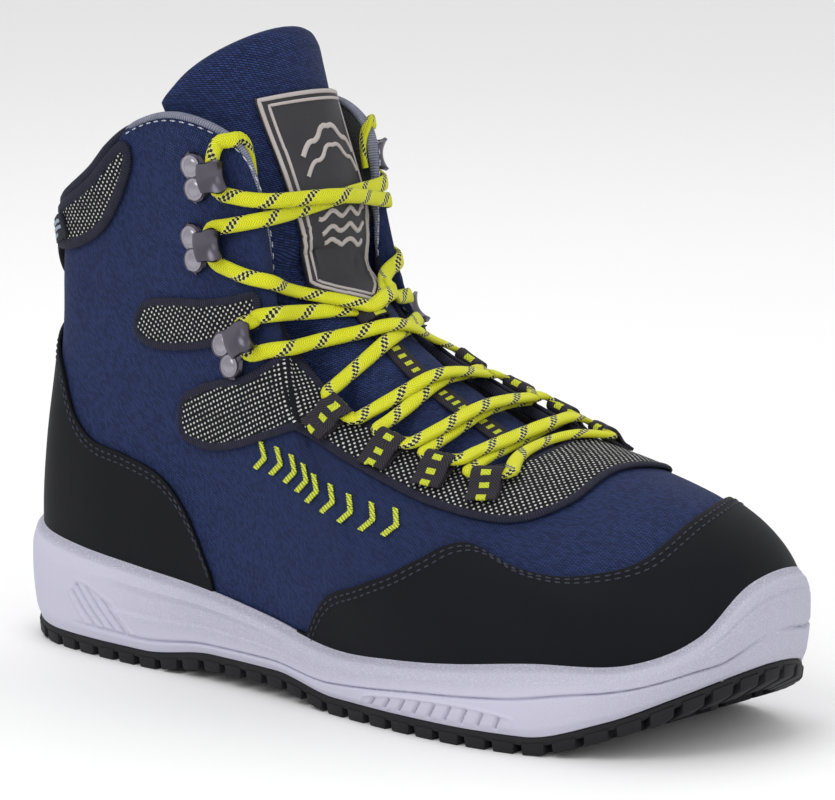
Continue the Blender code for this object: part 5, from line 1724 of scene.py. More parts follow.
@dataclass
class Badge:
    """The shield on the tongue, with a double raised border and a plain mountain-and-water relief.

    Attributes:
        half_width: half its width at the top.
        thickness: its thickness.
        outline: how far up the tongue each row is, and its share of the half width.
        insets: distances of the two borders in from the edge.
        seat: how far its back stands off the tongue.
        aside: how far its middle lies towards the inner side, as the laces pull it.
    """

    half_width: float = 24.0 * MM
    thickness: float = 1.8 * MM
    outline: tuple[tuple[float, float], ...] = (
        (0.549, 0.03), (0.575, 0.32), (0.602, 0.61), (0.628, 0.84), (0.672, 0.87),
        (0.735, 0.90), (0.800, 0.93), (0.855, 0.97), (0.905, 1.00),
    )
    insets: tuple[float, ...] = (0.9 * MM, 3.3 * MM)
    seat: float = 0.9 * MM
    aside: float = 5.0 * MM

    def half_at(self, up: Array) -> Array:
        """Half its width at heights up the tongue."""
        rows = np.array(self.outline)
        return self.half_width * Curve(rows[:, 0], rows[:, 1]).at(up)

    def build(self) -> None:
        """Make the plate, its borders and its relief."""
        low, high = self.outline[0][0], self.outline[-1][0]

        def place(u: Array, v: Array) -> Array:
            """Points of the plate; u runs up it."""
            up = low + (high - low) * (1 - u)
            y = self.aside + self.half_at(up) * (2 * v - 1)
            return TONGUE.laid(up, y, np.full(u.shape, self.seat))[0]

        wall = Wall(self.thickness, 1.0, bevel=0.5 * MM)
        plate = grid(place, 60, 36)
        add_piece("badge_plate", plate, [BADGE_RUBBER.material()], ["tongue_badge"], wall)
        lines = [self.ring(inset, width) for inset, width in zip(self.insets, (1.5 * MM, 1.1 * MM))]
        lines += [self.line(points, width) for points, width in self.relief_lines()]
        add_piece("badge_relief", joined(lines), [BADGE_PALE.material()])

    def top(self) -> Array:
        """Rows of points over its front."""
        ups = np.linspace(self.outline[0][0], self.outline[-1][0], 16)
        up, across = np.meshgrid(ups, np.linspace(1, -1, 13))
        y = self.aside + self.half_at(up) * across
        return TONGUE.laid(up, y, np.full(up.shape, self.seat + self.thickness))[0]

    def ring(self, inset: float, width: float) -> bpy.types.Mesh:
        """A raised border that follows the shield's edge.

        Args:
            inset: its distance in from the edge.
            width: its width.

        Returns:
            Its mesh.
        """
        ups = np.linspace(self.outline[0][0] + 0.004, self.outline[-1][0], 40)
        right = np.stack([ups, self.half_at(ups)], axis=-1)
        length = 1.13 * COLLAR_HEIGHT
        top = np.stack([np.full(14, ups[-1]), right[-1, 1] * np.linspace(0.9, -0.9, 14)], axis=-1)
        flat = np.concatenate([right, top, right[::-1] * (1, -1)]) * (length, 1)
        middle = flat.mean(axis=0)
        ring = np.concatenate([flat, np.zeros((len(flat), 1))], axis=1)
        ring = resampled(ring, 0.8 * MM, closed=True)[:, :2]
        along = unit(np.roll(ring, -1, axis=0) - np.roll(ring, 1, axis=0))
        inward = np.stack([-along[:, 1], along[:, 0]], axis=-1)
        inward *= np.sign(np.sum((middle - ring) * inward, axis=1, keepdims=True))
        inner = ring + inward * inset
        clear = np.linalg.norm(inner[:, None] - ring[None], axis=2).min(axis=1) > inset * 0.93
        ring = inner[clear]
        return self.line(ring / (length, 1), width, closed=True)

    def line(self, flat: Array, width: float, closed: bool = False) -> bpy.types.Mesh:
        """A raised line on the shield.

        Args:
            flat: its points, as heights up the tongue and distances across.
            width: its width.
            closed: whether it is a ring.

        Returns:
            Its mesh.
        """
        points, normals = TONGUE.laid(flat[:, 0], flat[:, 1] + self.aside, self.seat + self.thickness)
        both = resampled(np.concatenate([points, normals], axis=1), 1.2 * MM, closed)
        return sweep(both[:, :3], unit(both[:, 3:]), oval(width, 1.1 * MM, 10, 0.6), closed)

    def relief_lines(self) -> list[tuple[Array, float]]:
        """A plain ridge over waves, as lines with their widths."""
        found = []
        for base, width in ((0.800, 1.9 * MM), (0.768, 1.5 * MM)):
            y = np.linspace(-14, 14, 15) * MM
            up = base + 0.045 * (1 - np.abs(y) / (14 * MM)) + 0.010 * np.abs(np.sin(y * 450))
            found.append((np.stack([up, y], axis=-1), width))
        for k, base in enumerate((0.735, 0.708, 0.681, 0.656)):
            reach = (15.5 - 1.6 * k) * MM
            y = np.linspace(-reach, reach, 25)
            found.append((np.stack([base + 0.006 * np.sin(y * 620), y], axis=-1), 1.7 * MM))
        return found


@dataclass(frozen=True)
class Holder:
    """A place that holds the lace, on the outer side; the inner side mirrors it.

    Attributes:
        station: its station.
        rise: its rise.
        turn: degrees that it is turned on the cloth.
        seat: how far it stands off the upper's plain form.
        hook: whether it is a metal hook, and otherwise a webbing loop.
    """

    station: float
    rise: float
    turn: float
    seat: float
    hook: bool

    def axes(self, side: Side) -> Matrix:
        """Its axes: x towards the throat or along its edge to the toe, z out."""
        frame_there = FORM.frame_at(side.station(self.station), self.rise)
        if not self.hook:
            return frame_there
        turn = Matrix.Rotation(math.radians(self.turn * side.sign), 4, "Z")
        return frame_there @ Matrix.Translation((0, 0, self.seat)) @ turn


HOLDERS = (
    Holder(11.0, 0.83, 0, ON_STAY, False),
    Holder(10.4, 0.87, 0, ON_STAY, False),
    Holder(9.75, 0.88, 0, ON_STAY, False),
    Holder(8.85, 0.85, 0, ON_STAY, False),
    Holder(5.62, 0.555, 48, ON_STAY, True),
    Holder(5.05, 0.74, 18, CLEARANCE, True),
    Holder(5.15, 0.885, 18, CLEARANCE, True),
)
FIRST_HOOK = 4


@dataclass
class LaceLoops:
    """The webbing loops on the lace stay, folded over the lace.

    Attributes:
        width: a loop's width along the throat.
        height: its length from its sewn end to its fold.
        sheet: thickness of the webbing.
        tunnel: height of the room for the lace in the fold.
    """

    width: float = 10.6 * MM
    height: float = 13.6 * MM
    sheet: float = 1.1 * MM
    tunnel: float = 2.6 * MM

    def profile(self) -> Array:
        """Distances towards the throat and heights of the webbing's middle, over the fold and back."""
        end, back = self.height / 2, -self.height / 2
        low, high = self.sheet / 2, self.tunnel + self.sheet * 1.5
        points = (
            (back, low + self.sheet, 0), (back + 0.3 * self.height, low + self.sheet * 1.1, 0),
            (end - 6.5 * MM, high * 0.72, 0), (end - 3.8 * MM, high, 0), (end - 1.4 * MM, high * 0.94, 0),
            (end - 0.1 * MM, high * 0.55, 0), (end - 1.2 * MM, low * 1.3, 0), (end - 4.5 * MM, low, 0),
            (back + 1.0 * MM, low, 0),
        )
        return resampled(np.array(points), 0.7 * MM)[:, :2]

    def build(self) -> None:
        """Make the eight loops."""
        profile = self.profile()
        length = np.linalg.norm(np.diff(profile, axis=0), axis=1).sum()
        across = np.linspace(-self.width / 2, self.width / 2, 15)
        for number, holder in enumerate(HOLDERS[:FIRST_HOOK], 1):
            for side in Side:
                flat = np.array([
                    (x, side.sign * y, holder.seat + z) for x in across * side.sign for y, z in profile
                ])
                sheet = laid(TONGUE.upper_tree, holder.axes(side), flat).reshape(15, len(profile), 3)
                mesh = turned_over(sheet_mesh(sheet, (length, self.width)))
                name = f"lace_loop_{side.value}_{number}"
                wall = Wall(self.sheet, 0.0, bevel=0.3 * MM)
                add_piece(
                    f"{name}_webbing", mesh, [DASHED_TAPE.material()], [name], wall)


@dataclass
class LaceHooks:
    """The pewter lace hooks: a riveted plate with a raised rim, drawn in and curled back.

    Attributes:
        sheet: thickness of the metal.
        lobe: radius of the plate round a rivet.
        spacing: distance between the rivets.
        rivet: diameter of a rivet's head.
        reach: from the rivets to the middle of the curl.
        curl: radius of the curl.
        neck: half the width of the neck.
        lip: half the width of the curl's free end.
        saddle: how far the curl's edges are drawn ahead of its middle.
        rim: height of the plate's raised rim.
        dome: height of a rivet's head.
        seat: radius of the ring of painted shade round it, as a share of its diameter.
    """

    sheet: float = 1.2 * MM
    lobe: float = 4.6 * MM
    spacing: float = 8.0 * MM
    rivet: float = 5.8 * MM
    reach: float = 11.5 * MM
    curl: float = 3.0 * MM
    neck: float = 3.8 * MM
    lip: float = 5.6 * MM
    saddle: float = 1.9 * MM
    rim: float = 0.45 * MM
    dome: float = 1.1 * MM
    seat: float = 0.67

    def build(self) -> None:
        """Make the six hooks and their rivets."""
        for number, holder in enumerate(HOLDERS[FIRST_HOOK:], 1):
            for side in Side:
                name = f"hook_{side.value}_{number}"
                axes = holder.axes(side)
                plate, rivets = self.plate(), self.rivets()
                plate.transform(axes)
                rivets.transform(axes)
                wall = Wall(self.sheet, 0.0, bevel=0.25 * MM, levels=1)
                add_piece(f"{name}_plate", plate, [PEWTER.material()], [name], wall)
                add_piece(f"{name}_rivets", rivets, [RIVET.material(), SHADOW.material()])

    def plate(self) -> bpy.types.Mesh:
        """The bent plate, flat under its rivets."""
        outer = self.spacing / 2 + self.lobe
        turn = np.radians(np.linspace(-90, 90, 9))
        curl = np.stack([
            self.reach + self.curl * np.cos(turn), self.curl * (1 + np.sin(turn)), 0 * turn], axis=-1)
        start = np.array(((0, 0, 0), (3.0 * MM, 0, 0), (6.2 * MM, 0.15 * MM, 0)))
        tip = np.array(((self.reach - self.curl * 1.1, 2.02 * self.curl, 0),
                        (self.reach - self.curl * 1.75, 1.9 * self.curl, 0)))
        spine = resampled(np.concatenate([start, curl, tip]), 0.6 * MM)[:, :2]
        run = np.cumsum(np.linalg.norm(np.diff(spine, axis=0, prepend=spine[:1]), axis=1))
        widths = Curve(
            np.array((0, 3.0, 6.5, 10.5, 14.5, 19.0, 22.0)) * MM,
            np.array((
                outer, outer * 0.93, self.neck * 1.12, self.neck, self.neck * 1.12, self.lip, self.lip * 0.9,
            )),
        )

        def place(u: Array, v: Array) -> Array:
            """Points of the plate: u from the heel side over the curl, v across."""
            side = 2 * v - 1
            body = np.clip((u - 0.2) / 0.8, 0, 1)
            at = body * (len(spine) - 1)
            x = np.interp(at, np.arange(len(spine)), spine[:, 0])
            z = np.interp(at, np.arange(len(spine)), spine[:, 1])
            length = np.interp(at, np.arange(len(run)), run)
            y = side * widths.at(length)
            near = np.abs(np.abs(side * outer) - self.spacing / 2)
            back = np.sqrt(np.maximum(self.lobe**2 - np.minimum(near, self.lobe) ** 2, 0))
            x = x - back * np.clip((0.2 - u) / 0.2, 0, 1)
            saddle = self.saddle * side**2 * np.clip((length - 9 * MM) / (6 * MM), 0, 1)
            rim = self.rim * np.maximum(np.clip((np.abs(side) - 0.8) / 0.2, 0, 1),
                                         np.clip((0.06 - u) / 0.06, 0, 1))
            flat = np.clip((8 * MM - length) / (3 * MM), 0, 1)
            return np.stack([x + saddle, y, z + self.sheet / 2 + rim * flat + saddle * 0.5], axis=-1)

        return grid(place, 48, 22)

    def rivets(self) -> bpy.types.Mesh:
        """Two domed heads, each in a near-black ring of painted shade round it."""
        bm = bmesh.new()
        for y in (-self.spacing / 2, self.spacing / 2):
            middle = Matrix.Translation((0, y, self.sheet))
            size = Matrix.Diagonal((self.rivet / 2, self.rivet / 2, self.dome, 1))
            dome = bmesh.ops.create_uvsphere(
                bm, u_segments=32, v_segments=16, radius=1, matrix=middle @ size)
            for vert in dome["verts"]:
                vert.co.z = self.sheet + max(vert.co.z - self.sheet, -0.2 * MM)
            ring = bmesh.ops.create_cone(
                bm, cap_ends=True, segments=32, radius1=self.rivet * self.seat,
                radius2=self.rivet * (self.seat - 0.02),
                depth=0.5 * MM, matrix=Matrix.Translation((0, y, self.sheet + 0.15 * MM)),
            )
            # The ring's faces take the painted-shade material
            for face in {face for vert in ring["verts"] for face in vert.link_faces}:
                face.material_index = 1
            bmesh.ops.recalc_face_normals(
                bm, faces=list({face for vert in ring["verts"] for face in vert.link_faces}))
        return meshed(bm, "rivets")


@dataclass
class Laces:
    """The flat lace: a bar across, crossings up to the top hooks, and two tucked ends.

    Attributes:
        width: the lace's width.
        height: its thickness.
        step: the longest step of a path while it is laid.
        needs: how far its middle keeps off what it lies on.
        deepest: how far under a sheet a point is still brought out of it.
        corner_station: how far behind the throat's edge a strand meets the cloth, in stations.
        corner_rise: how far up the upper it does.
        leg_from: the height from which the leg of the boot is a plain tube.
        leg_axis: the length from the heel at which that tube's axis stands.
        in_hook: where it is held in a hook, towards the throat and out.
        in_loop: where it is held in a loop, towards the throat and out.
        by_hook: where it comes out of a hook, towards the throat, up and out.
        by_loop: where it comes out of a loop, along the throat, towards it and out.
    """

    width: float = 5.3 * MM
    height: float = 2.2 * MM
    step: float = 5.0 * MM
    needs: float = 1.8 * MM
    deepest: float = 9.0 * MM
    corner_station: float = 0.35
    corner_rise: float = 0.93
    leg_from: float = 0.135
    leg_axis: float = 0.105
    in_hook: tuple[float, float] = (10.9 * MM, 3.4 * MM)
    in_loop: tuple[float, float] = (4.6 * MM, 2.4 * MM)
    by_hook: tuple[float, float, float] = (11.2 * MM, 5.6 * MM, 3.2 * MM)
    by_loop: tuple[float, float, float] = (7.4 * MM, 5.6 * MM, 2.0 * MM)

    def build(self, sheets: Sequence[BVHTree]) -> None:
        """Make every strand.

        Args:
            sheets: search trees of all that the lace lies over.
        """
        self.sheets = sheets
        for number in range(1, len(HOLDERS) + 1):
            low, high = max(number - 2, 0), number - 1
            name = "lace_bar" if number == 1 else f"lace_crossing_{number}"
            pairs = [(Side.OUTER, Side.INNER)] + ([(Side.INNER, Side.OUTER)] if number > 1 else [])
            paths = [self.strand(low, high, *pair) for pair in pairs]
            if len(paths) == 2:
                paths[1] = self.lifted(paths[1], paths[0])
            meshes = [self.cord(path) for path in paths]
            add_piece(f"{name}_cord", joined(meshes), [LACE.material()], [name])
        for side in Side:
            end = self.cord(self.tucked_end(side))
            add_piece(f"lace_end_{side.value}", end, [LACE.material()])

    def middle_of(self, holder: Holder, side: Side) -> Vector:
        """Where the lace is held inside a holder."""
        if holder.hook:
            return holder.axes(side) @ Vector((self.in_hook[0], 0, self.in_hook[1]))
        return holder.axes(side) @ Vector((0, side.sign * self.in_loop[0], holder.seat + self.in_loop[1]))

    def mouth_of(self, holder: Holder, side: Side, leaving: bool) -> Vector:
        """Where the lace comes out of a holder, above it if it is leaving."""
        turn = 1 if leaving else -1
        if holder.hook:
            ahead, up, out = self.by_hook
            return holder.axes(side) @ Vector((ahead, up * turn * side.sign, out))
        along, ahead, out = self.by_loop
        return holder.axes(side) @ Vector((-along * turn, side.sign * ahead, holder.seat + out))

    def out_from(self, points: Array) -> Array:
        """Directions out from whatever is nearest to each point."""
        found = np.empty(points.shape)
        for k, point in enumerate(points):
            hits = [tree.find_nearest(Vector(point)) for tree in self.sheets]
            found[k] = min(hits, key=lambda hit: hit[3])[1]
        for _ in range(10):
            found[1:-1] = (found[:-2] + found[2:] + 2 * found[1:-1]) / 4
        return unit(found)

    def cord(self, path: Array) -> bpy.types.Mesh:
        """A flat lace along a path."""
        path = resampled(path, 1.3 * MM)
        for _ in range(4):
            path[1:-1] = (path[:-2] + path[2:] + 2 * path[1:-1]) / 4
        return sweep(path, self.out_from(path), oval(self.width, self.height, 14, 0.75))

    def lifted(self, path: Array, under: Array) -> Array:
        """A path raised where it crosses over another strand."""
        path, under = resampled(path, 2 * MM), resampled(under, 1 * MM)
        apart = np.linalg.norm(path[:, None] - under[None], axis=-1).min(axis=1)
        share = np.clip(1.35 - apart / (self.width * 1.05), 0, 1)
        for _ in range(6):
            share[1:-1] = (share[:-2] + share[2:] + 2 * share[1:-1]) / 4
        return path + self.out_from(path) * (share * self.height * 1.15)[:, None]

    def strand(self, low: int, high: int, start_side: Side, end_side: Side) -> Array:
        """A strand from one holder over the tongue to another.

        Args:
            low: number of the lower holder, from the toe.
            high: number of the higher one.
            start_side: the side that it starts on.
            end_side: the side that it ends on.

        Returns:
            Its path.
        """
        start = self.mouth_of(HOLDERS[low], start_side, low != high)
        end = self.mouth_of(HOLDERS[high], end_side, False)
        kept = self.under_keeper(start_side) if low == FIRST_HOOK else None
        up, down = self.leg(start, kept or end, low, start_side), self.leg(end, kept or start, high, end_side)
        if kept is None:
            over = self.over_sheets(up[-1], down[-1])
        else:
            over = self.over_sheets(up[-1], kept) + self.over_sheets(kept, down[-1])[1:]
        path = [start, *up[:-1], *over, *down[-2::-1], end]
        for _ in range(12):
            path = self.divided(self.without_kinks(path))
            path = self.taut(path, kept)
            path = [start, *(self.clear_of(point) for point in path[1:-1]), end]
        ends = self.middle_of(HOLDERS[low], start_side), self.middle_of(HOLDERS[high], end_side)
        return np.array([ends[0], *path, ends[1]])

    def under_keeper(self, side: Side) -> Vector:
        """Where a strand goes under the keeper on the tongue."""
        aside, out = 1.9 * MM * side.sign, 2.4 * MM
        spots, _ = TONGUE.laid(np.array([Tongue.keeper_up]), np.array([aside]), np.array([out]))
        return Vector(spots[0])

    def taut(self, path: Sequence[Vector], kept: Vector | None) -> list[Vector]:
        """The path drawn tighter, but held where it goes under the keeper."""
        tighter = [path[0]]
        for before, point, after in zip(path, path[1:], path[2:]):
            held = kept is not None and (point - kept).length < 3 * MM
            tighter.append(kept if held else point * 0.4 + (before + after) * 0.3)
        return [*tighter, path[-1]]

    def leg(self, start: Vector, end: Vector, holder: int, side: Side) -> list[Vector]:
        """Points from near a strand's start to the throat's edge, where the strand is shortest."""
        stand = OVERLAY_WALL + self.needs + CLEARANCE
        ats = np.array([side.station(k / 10) for k in range(55, 121)])
        edges = FORM.skin(ats, np.ones(66)) + FORM.normal(ats, np.ones(66)) * stand
        far = np.linalg.norm(edges - np.array(start), axis=1) + np.linalg.norm(edges - np.array(end), axis=1)
        best = int(np.argmin(far))
        crossing, edge = ats[best], Vector(edges[best])
        if holder < FIRST_HOOK:
            return [edge]
        if holder > FIRST_HOOK:
            behind = crossing - self.corner_station * side.sign
            return [self.on_skin(behind, self.corner_rise, stand), edge]
        hook_at = side.station(HOLDERS[FIRST_HOOK].station)
        leg = []
        for share in (0.45, 0.30, 0.15):
            at = crossing + (hook_at - crossing) * share
            leg.append(self.on_skin(at, 1 + (HOLDERS[FIRST_HOOK].rise - 1) * share, stand))
        return [*leg, edge]

    def on_skin(self, station: float, rise: float, out: float) -> Vector:
        """One point out from the upper's plain form."""
        at, up = np.array(station), np.array(rise)
        return Vector(FORM.skin(at, up) + FORM.normal(at, up) * out)

    def over_sheets(self, start: Vector, end: Vector, steps: int = 9, search: float = 0.08) -> list[Vector]:
        """The shortest way between two points over the sheets, clear of them."""
        middle = (start + end) / 2
        centre = TONGUE.plain(TONGUE_ROWS[:, 0], np.zeros(len(TONGUE_ROWS)))
        mids = (centre[:-1] + centre[1:]) / 2
        i = int(np.argmin(np.linalg.norm(mids - np.array(middle), axis=1)))
        run = unit(centre[i + 1] - centre[i])
        lift = Vector((run[2], 0, -run[0])).normalized()
        heights = [0.0]
        for k in range(1, steps):
            base = start.lerp(end, k / steps)
            height = 0.0
            for tree in self.sheets:
                hit = tree.ray_cast(base + lift * search, -lift)[0]
                if hit:
                    height = max(height, (hit - base).dot(lift) + self.needs)
            heights.append(height)
        heights.append(0.0)
        hull = [0]
        for k in range(1, steps + 1):
            while len(hull) > 1:
                a, b = hull[-2], hull[-1]
                if (heights[b] - heights[a]) * (k - a) > (heights[k] - heights[a]) * (b - a):
                    break
                hull.pop()
            hull.append(k)
        taut = np.interp(np.arange(steps + 1), hull, [heights[k] for k in hull])
        return [start.lerp(end, k / steps) + lift * taut[k] for k in range(steps + 1)]

    def clear_of(self, point: Vector) -> Vector:
        """Move a strand's point out until the strand clears every sheet near it."""
        for tree in self.sheets:
            near, normal, _, distance = tree.find_nearest(point)
            inside = (point - near).dot(normal) < 0
            deepest = self.deepest if tree is TONGUE.upper_tree else self.deepest / 2
            if distance > (deepest if inside else self.needs):
                continue
            if inside:
                if point.z > self.leg_from:
                    normal = Vector((point.x - self.leg_axis, point.y, 0)).normalized()
                point = near + normal * self.needs
            elif distance > 0:
                point = near + (point - near) * (self.needs / distance)
        return point

    def divided(self, points: Sequence[Vector]) -> list[Vector]:
        """The same line with no step longer than the longest."""
        found = [points[0]]
        for a, b in zip(points, points[1:]):
            count = math.ceil((b - a).length / self.step)
            found += [a.lerp(b, k / count) for k in range(1, count + 1)]
        return found

    def without_kinks(self, path: Sequence[Vector], shortest: float = 2 * MM) -> list[Vector]:
        """The line without points at which it turns sharply or hardly moves on."""
        line = [path[0]]
        for point in path[1:-1]:
            if (point - line[-1]).length > shortest and (point - path[-1]).length > shortest:
                line.append(point)
        line.append(path[-1])
        while len(line) > 3:
            turns = [(b - a).angle(c - b) for a, b, c in zip(line, line[1:], line[2:])]
            sharpest = max(range(len(turns)), key=turns.__getitem__)
            if turns[sharpest] < math.radians(80):
                break
            del line[sharpest + 1]
        return line

    def tucked_end(self, side: Side) -> Array:
        """The lace's end: out of the top hook, over the throat's edge and down behind it."""
        holder = HOLDERS[-1]
        stand = self.needs + CLEARANCE
        inside = -UPPER_WALL - 1.6 * MM
        over = [
            self.on_skin(side.station(5.62), 0.985, stand), self.on_skin(side.station(5.80), 1.0, stand),
            self.on_skin(side.station(5.95), 1.0, -UPPER_WALL / 2) + Vector((0, 0, 3.4 * MM)),
            self.on_skin(side.station(6.0), 0.985, inside), self.on_skin(side.station(6.0), 0.93, inside),
        ]
        mouth = self.mouth_of(holder, side, True)
        return np.array([self.middle_of(holder, side), mouth, *over])


@dataclass(frozen=True)
class Pocket:
    """A ribbed pocket pressed into the midsole's side.

    Attributes:
        count: its number of slits.
        start: the station of its first slit.
        end: the station of its last slit.
        low: how far up the wall the slits start.
        high: how far up the longest one ends.
        lean: how many stations a slit's top is ahead of its foot.
    """

    count: int
    start: float
    end: float
    low: float
    high: float
    lean: float

    def lines(self) -> Array:
        """The slits' feet and tops, as stations and shares of the wall's height."""
        share = (np.arange(self.count) + 0.5) / self.count
        fall = 1 - np.abs(2 * share - 1) ** 2 * 0.45
        station = self.start + (self.end - self.start) * share
        tops = self.low + (self.high - self.low) * fall
        feet = np.stack([station, np.full(self.count, self.low)], axis=-1)
        return np.stack([feet, np.stack([station + self.lean * fall, tops], axis=-1)], axis=1)

    def outline(self) -> Array:
        """The raised edge round the slits' tops, as stations and shares of the wall's height."""
        lines = self.lines()
        width = (self.end - self.start) / self.count
        first, last = lines[0].copy(), lines[-1].copy()
        first[:, 0] -= width * 0.75
        last[:, 0] += width * 0.75
        tops = lines[:, 1] + (0, 0.055)
        return np.concatenate([first[:1], first[1:], tops, last[1:], last[:1]])


@dataclass
class Midsole:
    """The moulded foam cup: its bulged wall, groove, set-in band, ribbed pockets and rolled lip.

    Attributes:
        bulge: how far its wall stands out.
        lip: width of its lip.
        groove: depth of the long groove.
        band: depth of the set-in band.
        slit: depth of a slit.
        columns: quads round it where it is plain.
        rows: quads up it and over its lip.
        wall_share: how much of the rows are the wall's, before the lip.
        pockets: the ribbed pockets in its side.
    """

    bulge: float = 6.0 * MM
    lip: float = 2.2 * MM
    groove: float = 1.3 * MM
    band: float = 1.0 * MM
    slit: float = 1.3 * MM
    columns: int = 520
    rows: int = 76
    wall_share: float = 0.84
    pockets: tuple[Pocket, ...] = (
        Pocket(4, 3.25, 3.95, 0.18, 0.62, -0.45), Pocket(9, 7.55, 9.35, 0.10, 0.36, 0.16),
    )

    def lines(self) -> Array:
        """Stations of its columns, closer over the pockets."""
        plain = FORM.even_stations(self.columns, 0.1)
        dense = []
        for pocket in self.pockets:
            low = min(pocket.start, pocket.start + pocket.lean) - 0.15
            high = max(pocket.end, pocket.end + pocket.lean) + 0.15
            run = np.arange(low, high, 0.022)
            dense += [run, ROUND - run]
        return np.unique(np.concatenate([plain, *dense]).round(4))

    def plan(self, station: Array) -> Array:
        """The foot's outline, with no height."""
        foot = FORM.foot(station)
        return foot * (1, 1, 0)

    def wall_point(self, station: Array, up: Array, out: Array) -> Array:
        """Points on the outer wall, up running from tread to rim."""
        wall = Curve(MIDSOLE_WALL[:, 0], MIDSOLE_WALL[:, 1] * self.bulge)
        level = FORM.outward(station)
        low = self.plan(station)
        edge_x = (low + level * wall.at(0.0))[..., 0]
        low[..., 2] = FORM.lift.at(edge_x) + LUG_HEIGHT + SLAB_THICKNESS + CLEARANCE / 2
        rise = self.rim_rise(station)
        high = FORM.skin(station, rise) + FORM.normal(station, rise) * CLEARANCE
        return low + (high - low) * up[..., None] + level * (wall.at(up) + out)[..., None]

    def rim_rise(self, station: Array) -> Array:
        """How far up the upper the rim is, read from a fine table."""
        if not hasattr(self, "rims"):
            self.rim_stations = np.linspace(0, ROUND, 521)
            self.rims = FORM.rise_at(self.rim_stations, FORM.rim_height(self.rim_stations))
        return np.interp(station % ROUND, self.rim_stations, self.rims)

    def relief(self, station: Array, up: Array) -> Array:
        """How far the wall stands in or out for its groove, band and pockets."""
        mirror = np.minimum(station, ROUND - station)
        read = [Curve(MIDSOLE_SIDES[:, 0], MIDSOLE_SIDES[:, k]).at(mirror) for k in (1, 2, 3)]
        groove, depth, band = read
        out = -self.groove * depth * bump_at(up, groove, 0.028)
        over = (up - groove) / (1 - groove)
        window = np.clip((over - 0.33) / 0.04, 0, 1) * np.clip((0.76 - over) / 0.10, 0, 1)
        out -= self.band * band * window**0.7
        bumper = bump_at(up, 0.80, 0.03) * np.clip((mirror - 11.6) / 0.8, 0, 1)
        out -= 0.5 * MM * bumper
        for pocket in self.pockets:
            out += self.pocket_relief(pocket, mirror, up)
        return out

    def pocket_relief(self, pocket: Pocket, station: Array, up: Array) -> Array:
        """How far one pocket's slits and edge stand in or out."""
        middle = (pocket.start + pocket.end) / 2
        ends = self.wall_point(np.array((middle - 0.5, middle + 0.5, middle)), np.array((0.3, 0.3, 0.0)), 0)
        top = self.wall_point(np.array((middle,)), np.array((1.0,)), 0)
        scale = np.array((np.linalg.norm(ends[1] - ends[0]), np.linalg.norm(top[0] - ends[2])))
        out = np.zeros(up.shape)
        near = np.abs(station - middle) < (pocket.end - pocket.start) / 2 + abs(pocket.lean) + 0.4
        at = np.stack([station[near], up[near]], axis=-1) * scale
        slits = np.full(len(at), 1.0)
        for line in pocket.lines() * scale:
            slits = np.minimum(slits, distance_to(at, line))
        edge, outline = np.full(len(at), 1.0), pocket.outline() * scale
        for a, b in zip(outline, outline[1:]):
            edge = np.minimum(edge, distance_to(at, np.stack([a, b])))
        out[near] = 0.5 * MM * bump_at(edge, 0, 0.8 * MM) - self.slit * bump_at(slits, 0, 0.6 * MM)
        return out

    def build(self) -> None:
        """Make the cup, with its moulded grain as an attribute."""
        lines = self.lines()

        def place(u: Array, v: Array) -> Array:
            """Points of the wall, then of the lip, then down inside the cup."""
            station = u * ROUND
            up = np.clip(v / self.wall_share, 0, 1)
            lipped = np.clip((up - 0.93) / 0.07, 0, 1)
            wall_top = Curve(MIDSOLE_WALL[:, 0], MIDSOLE_WALL[:, 1] * self.bulge).at(up)
            points = self.wall_point(station, up, self.relief(station, up) + lipped * (self.lip - wall_top))
            past = np.clip((v - self.wall_share) / (1 - self.wall_share), 0, 1)
            turn = np.clip(past / 0.5, 0, 1) * math.pi
            level = FORM.outward(station)
            radius = (self.lip - CLEARANCE) / 2
            rise = self.rim_rise(station)
            high = FORM.skin(station, rise) + FORM.normal(station, rise) * CLEARANCE
            rolled = high + level * (radius * (1 + np.cos(turn)))[:, None]
            rolled[:, 2] += np.sin(turn) * radius * 1.1
            down = np.clip((past - 0.5) / 0.5, 0, 1)
            low = FORM.skin(station, rise * (1 - 0.97 * down))
            inner = low + FORM.normal(station, rise * (1 - 0.97 * down)) * CLEARANCE * 1.5
            points = np.where((past > 0)[:, None], rolled, points)
            return np.where((down > 0)[:, None], inner, points)

        mesh = grid(place, len(lines) - 1, self.rows, lines=lines / ROUND)
        shares = lambda u, v: np.stack([u, v, 0 * u], axis=-1)
        flat = grid(shares, len(lines) - 1, self.rows, lines=lines / ROUND)
        share = np.empty(len(flat.vertices) * 3, dtype=np.float32)
        flat.vertices.foreach_get("co", share)
        bpy.data.meshes.remove(flat)
        share = share.reshape(-1, 3)
        station, up = share[:, 0] * ROUND, share[:, 1] / self.wall_share
        mirror = np.minimum(station, ROUND - station)
        groove = Curve(MIDSOLE_SIDES[:, 0], MIDSOLE_SIDES[:, 1]).at(mirror)
        zone = 0.55 * np.clip((up - groove - 0.05) / 0.2, 0, 1) * np.clip((mirror - 3.0) / 2, 0.25, 1)
        rim = np.clip((up - 0.90) / 0.07, 0, 1)
        toe = 0.6 * np.clip((mirror - 9.5) / 2, 0, 1)
        grain = mesh.attributes.new("grain", "FLOAT", "POINT")
        grain.data.foreach_set("value", np.maximum(np.maximum(zone, rim), toe).astype(np.float32))
        mesh = closed_up(mesh, caps=True)
        add_piece("midsole_cup", mesh, [FOAM.material()], ["midsole"], sharp=70)


def distance_to(points: Array, line: Array) -> Array:
    """Distances from points to one straight line between two ends."""
    start, run = line[0], line[1] - line[0]
    share = np.clip((points - start) @ run / (run @ run), 0, 1)
    return np.linalg.norm(points - start - share[:, None] * run, axis=1)


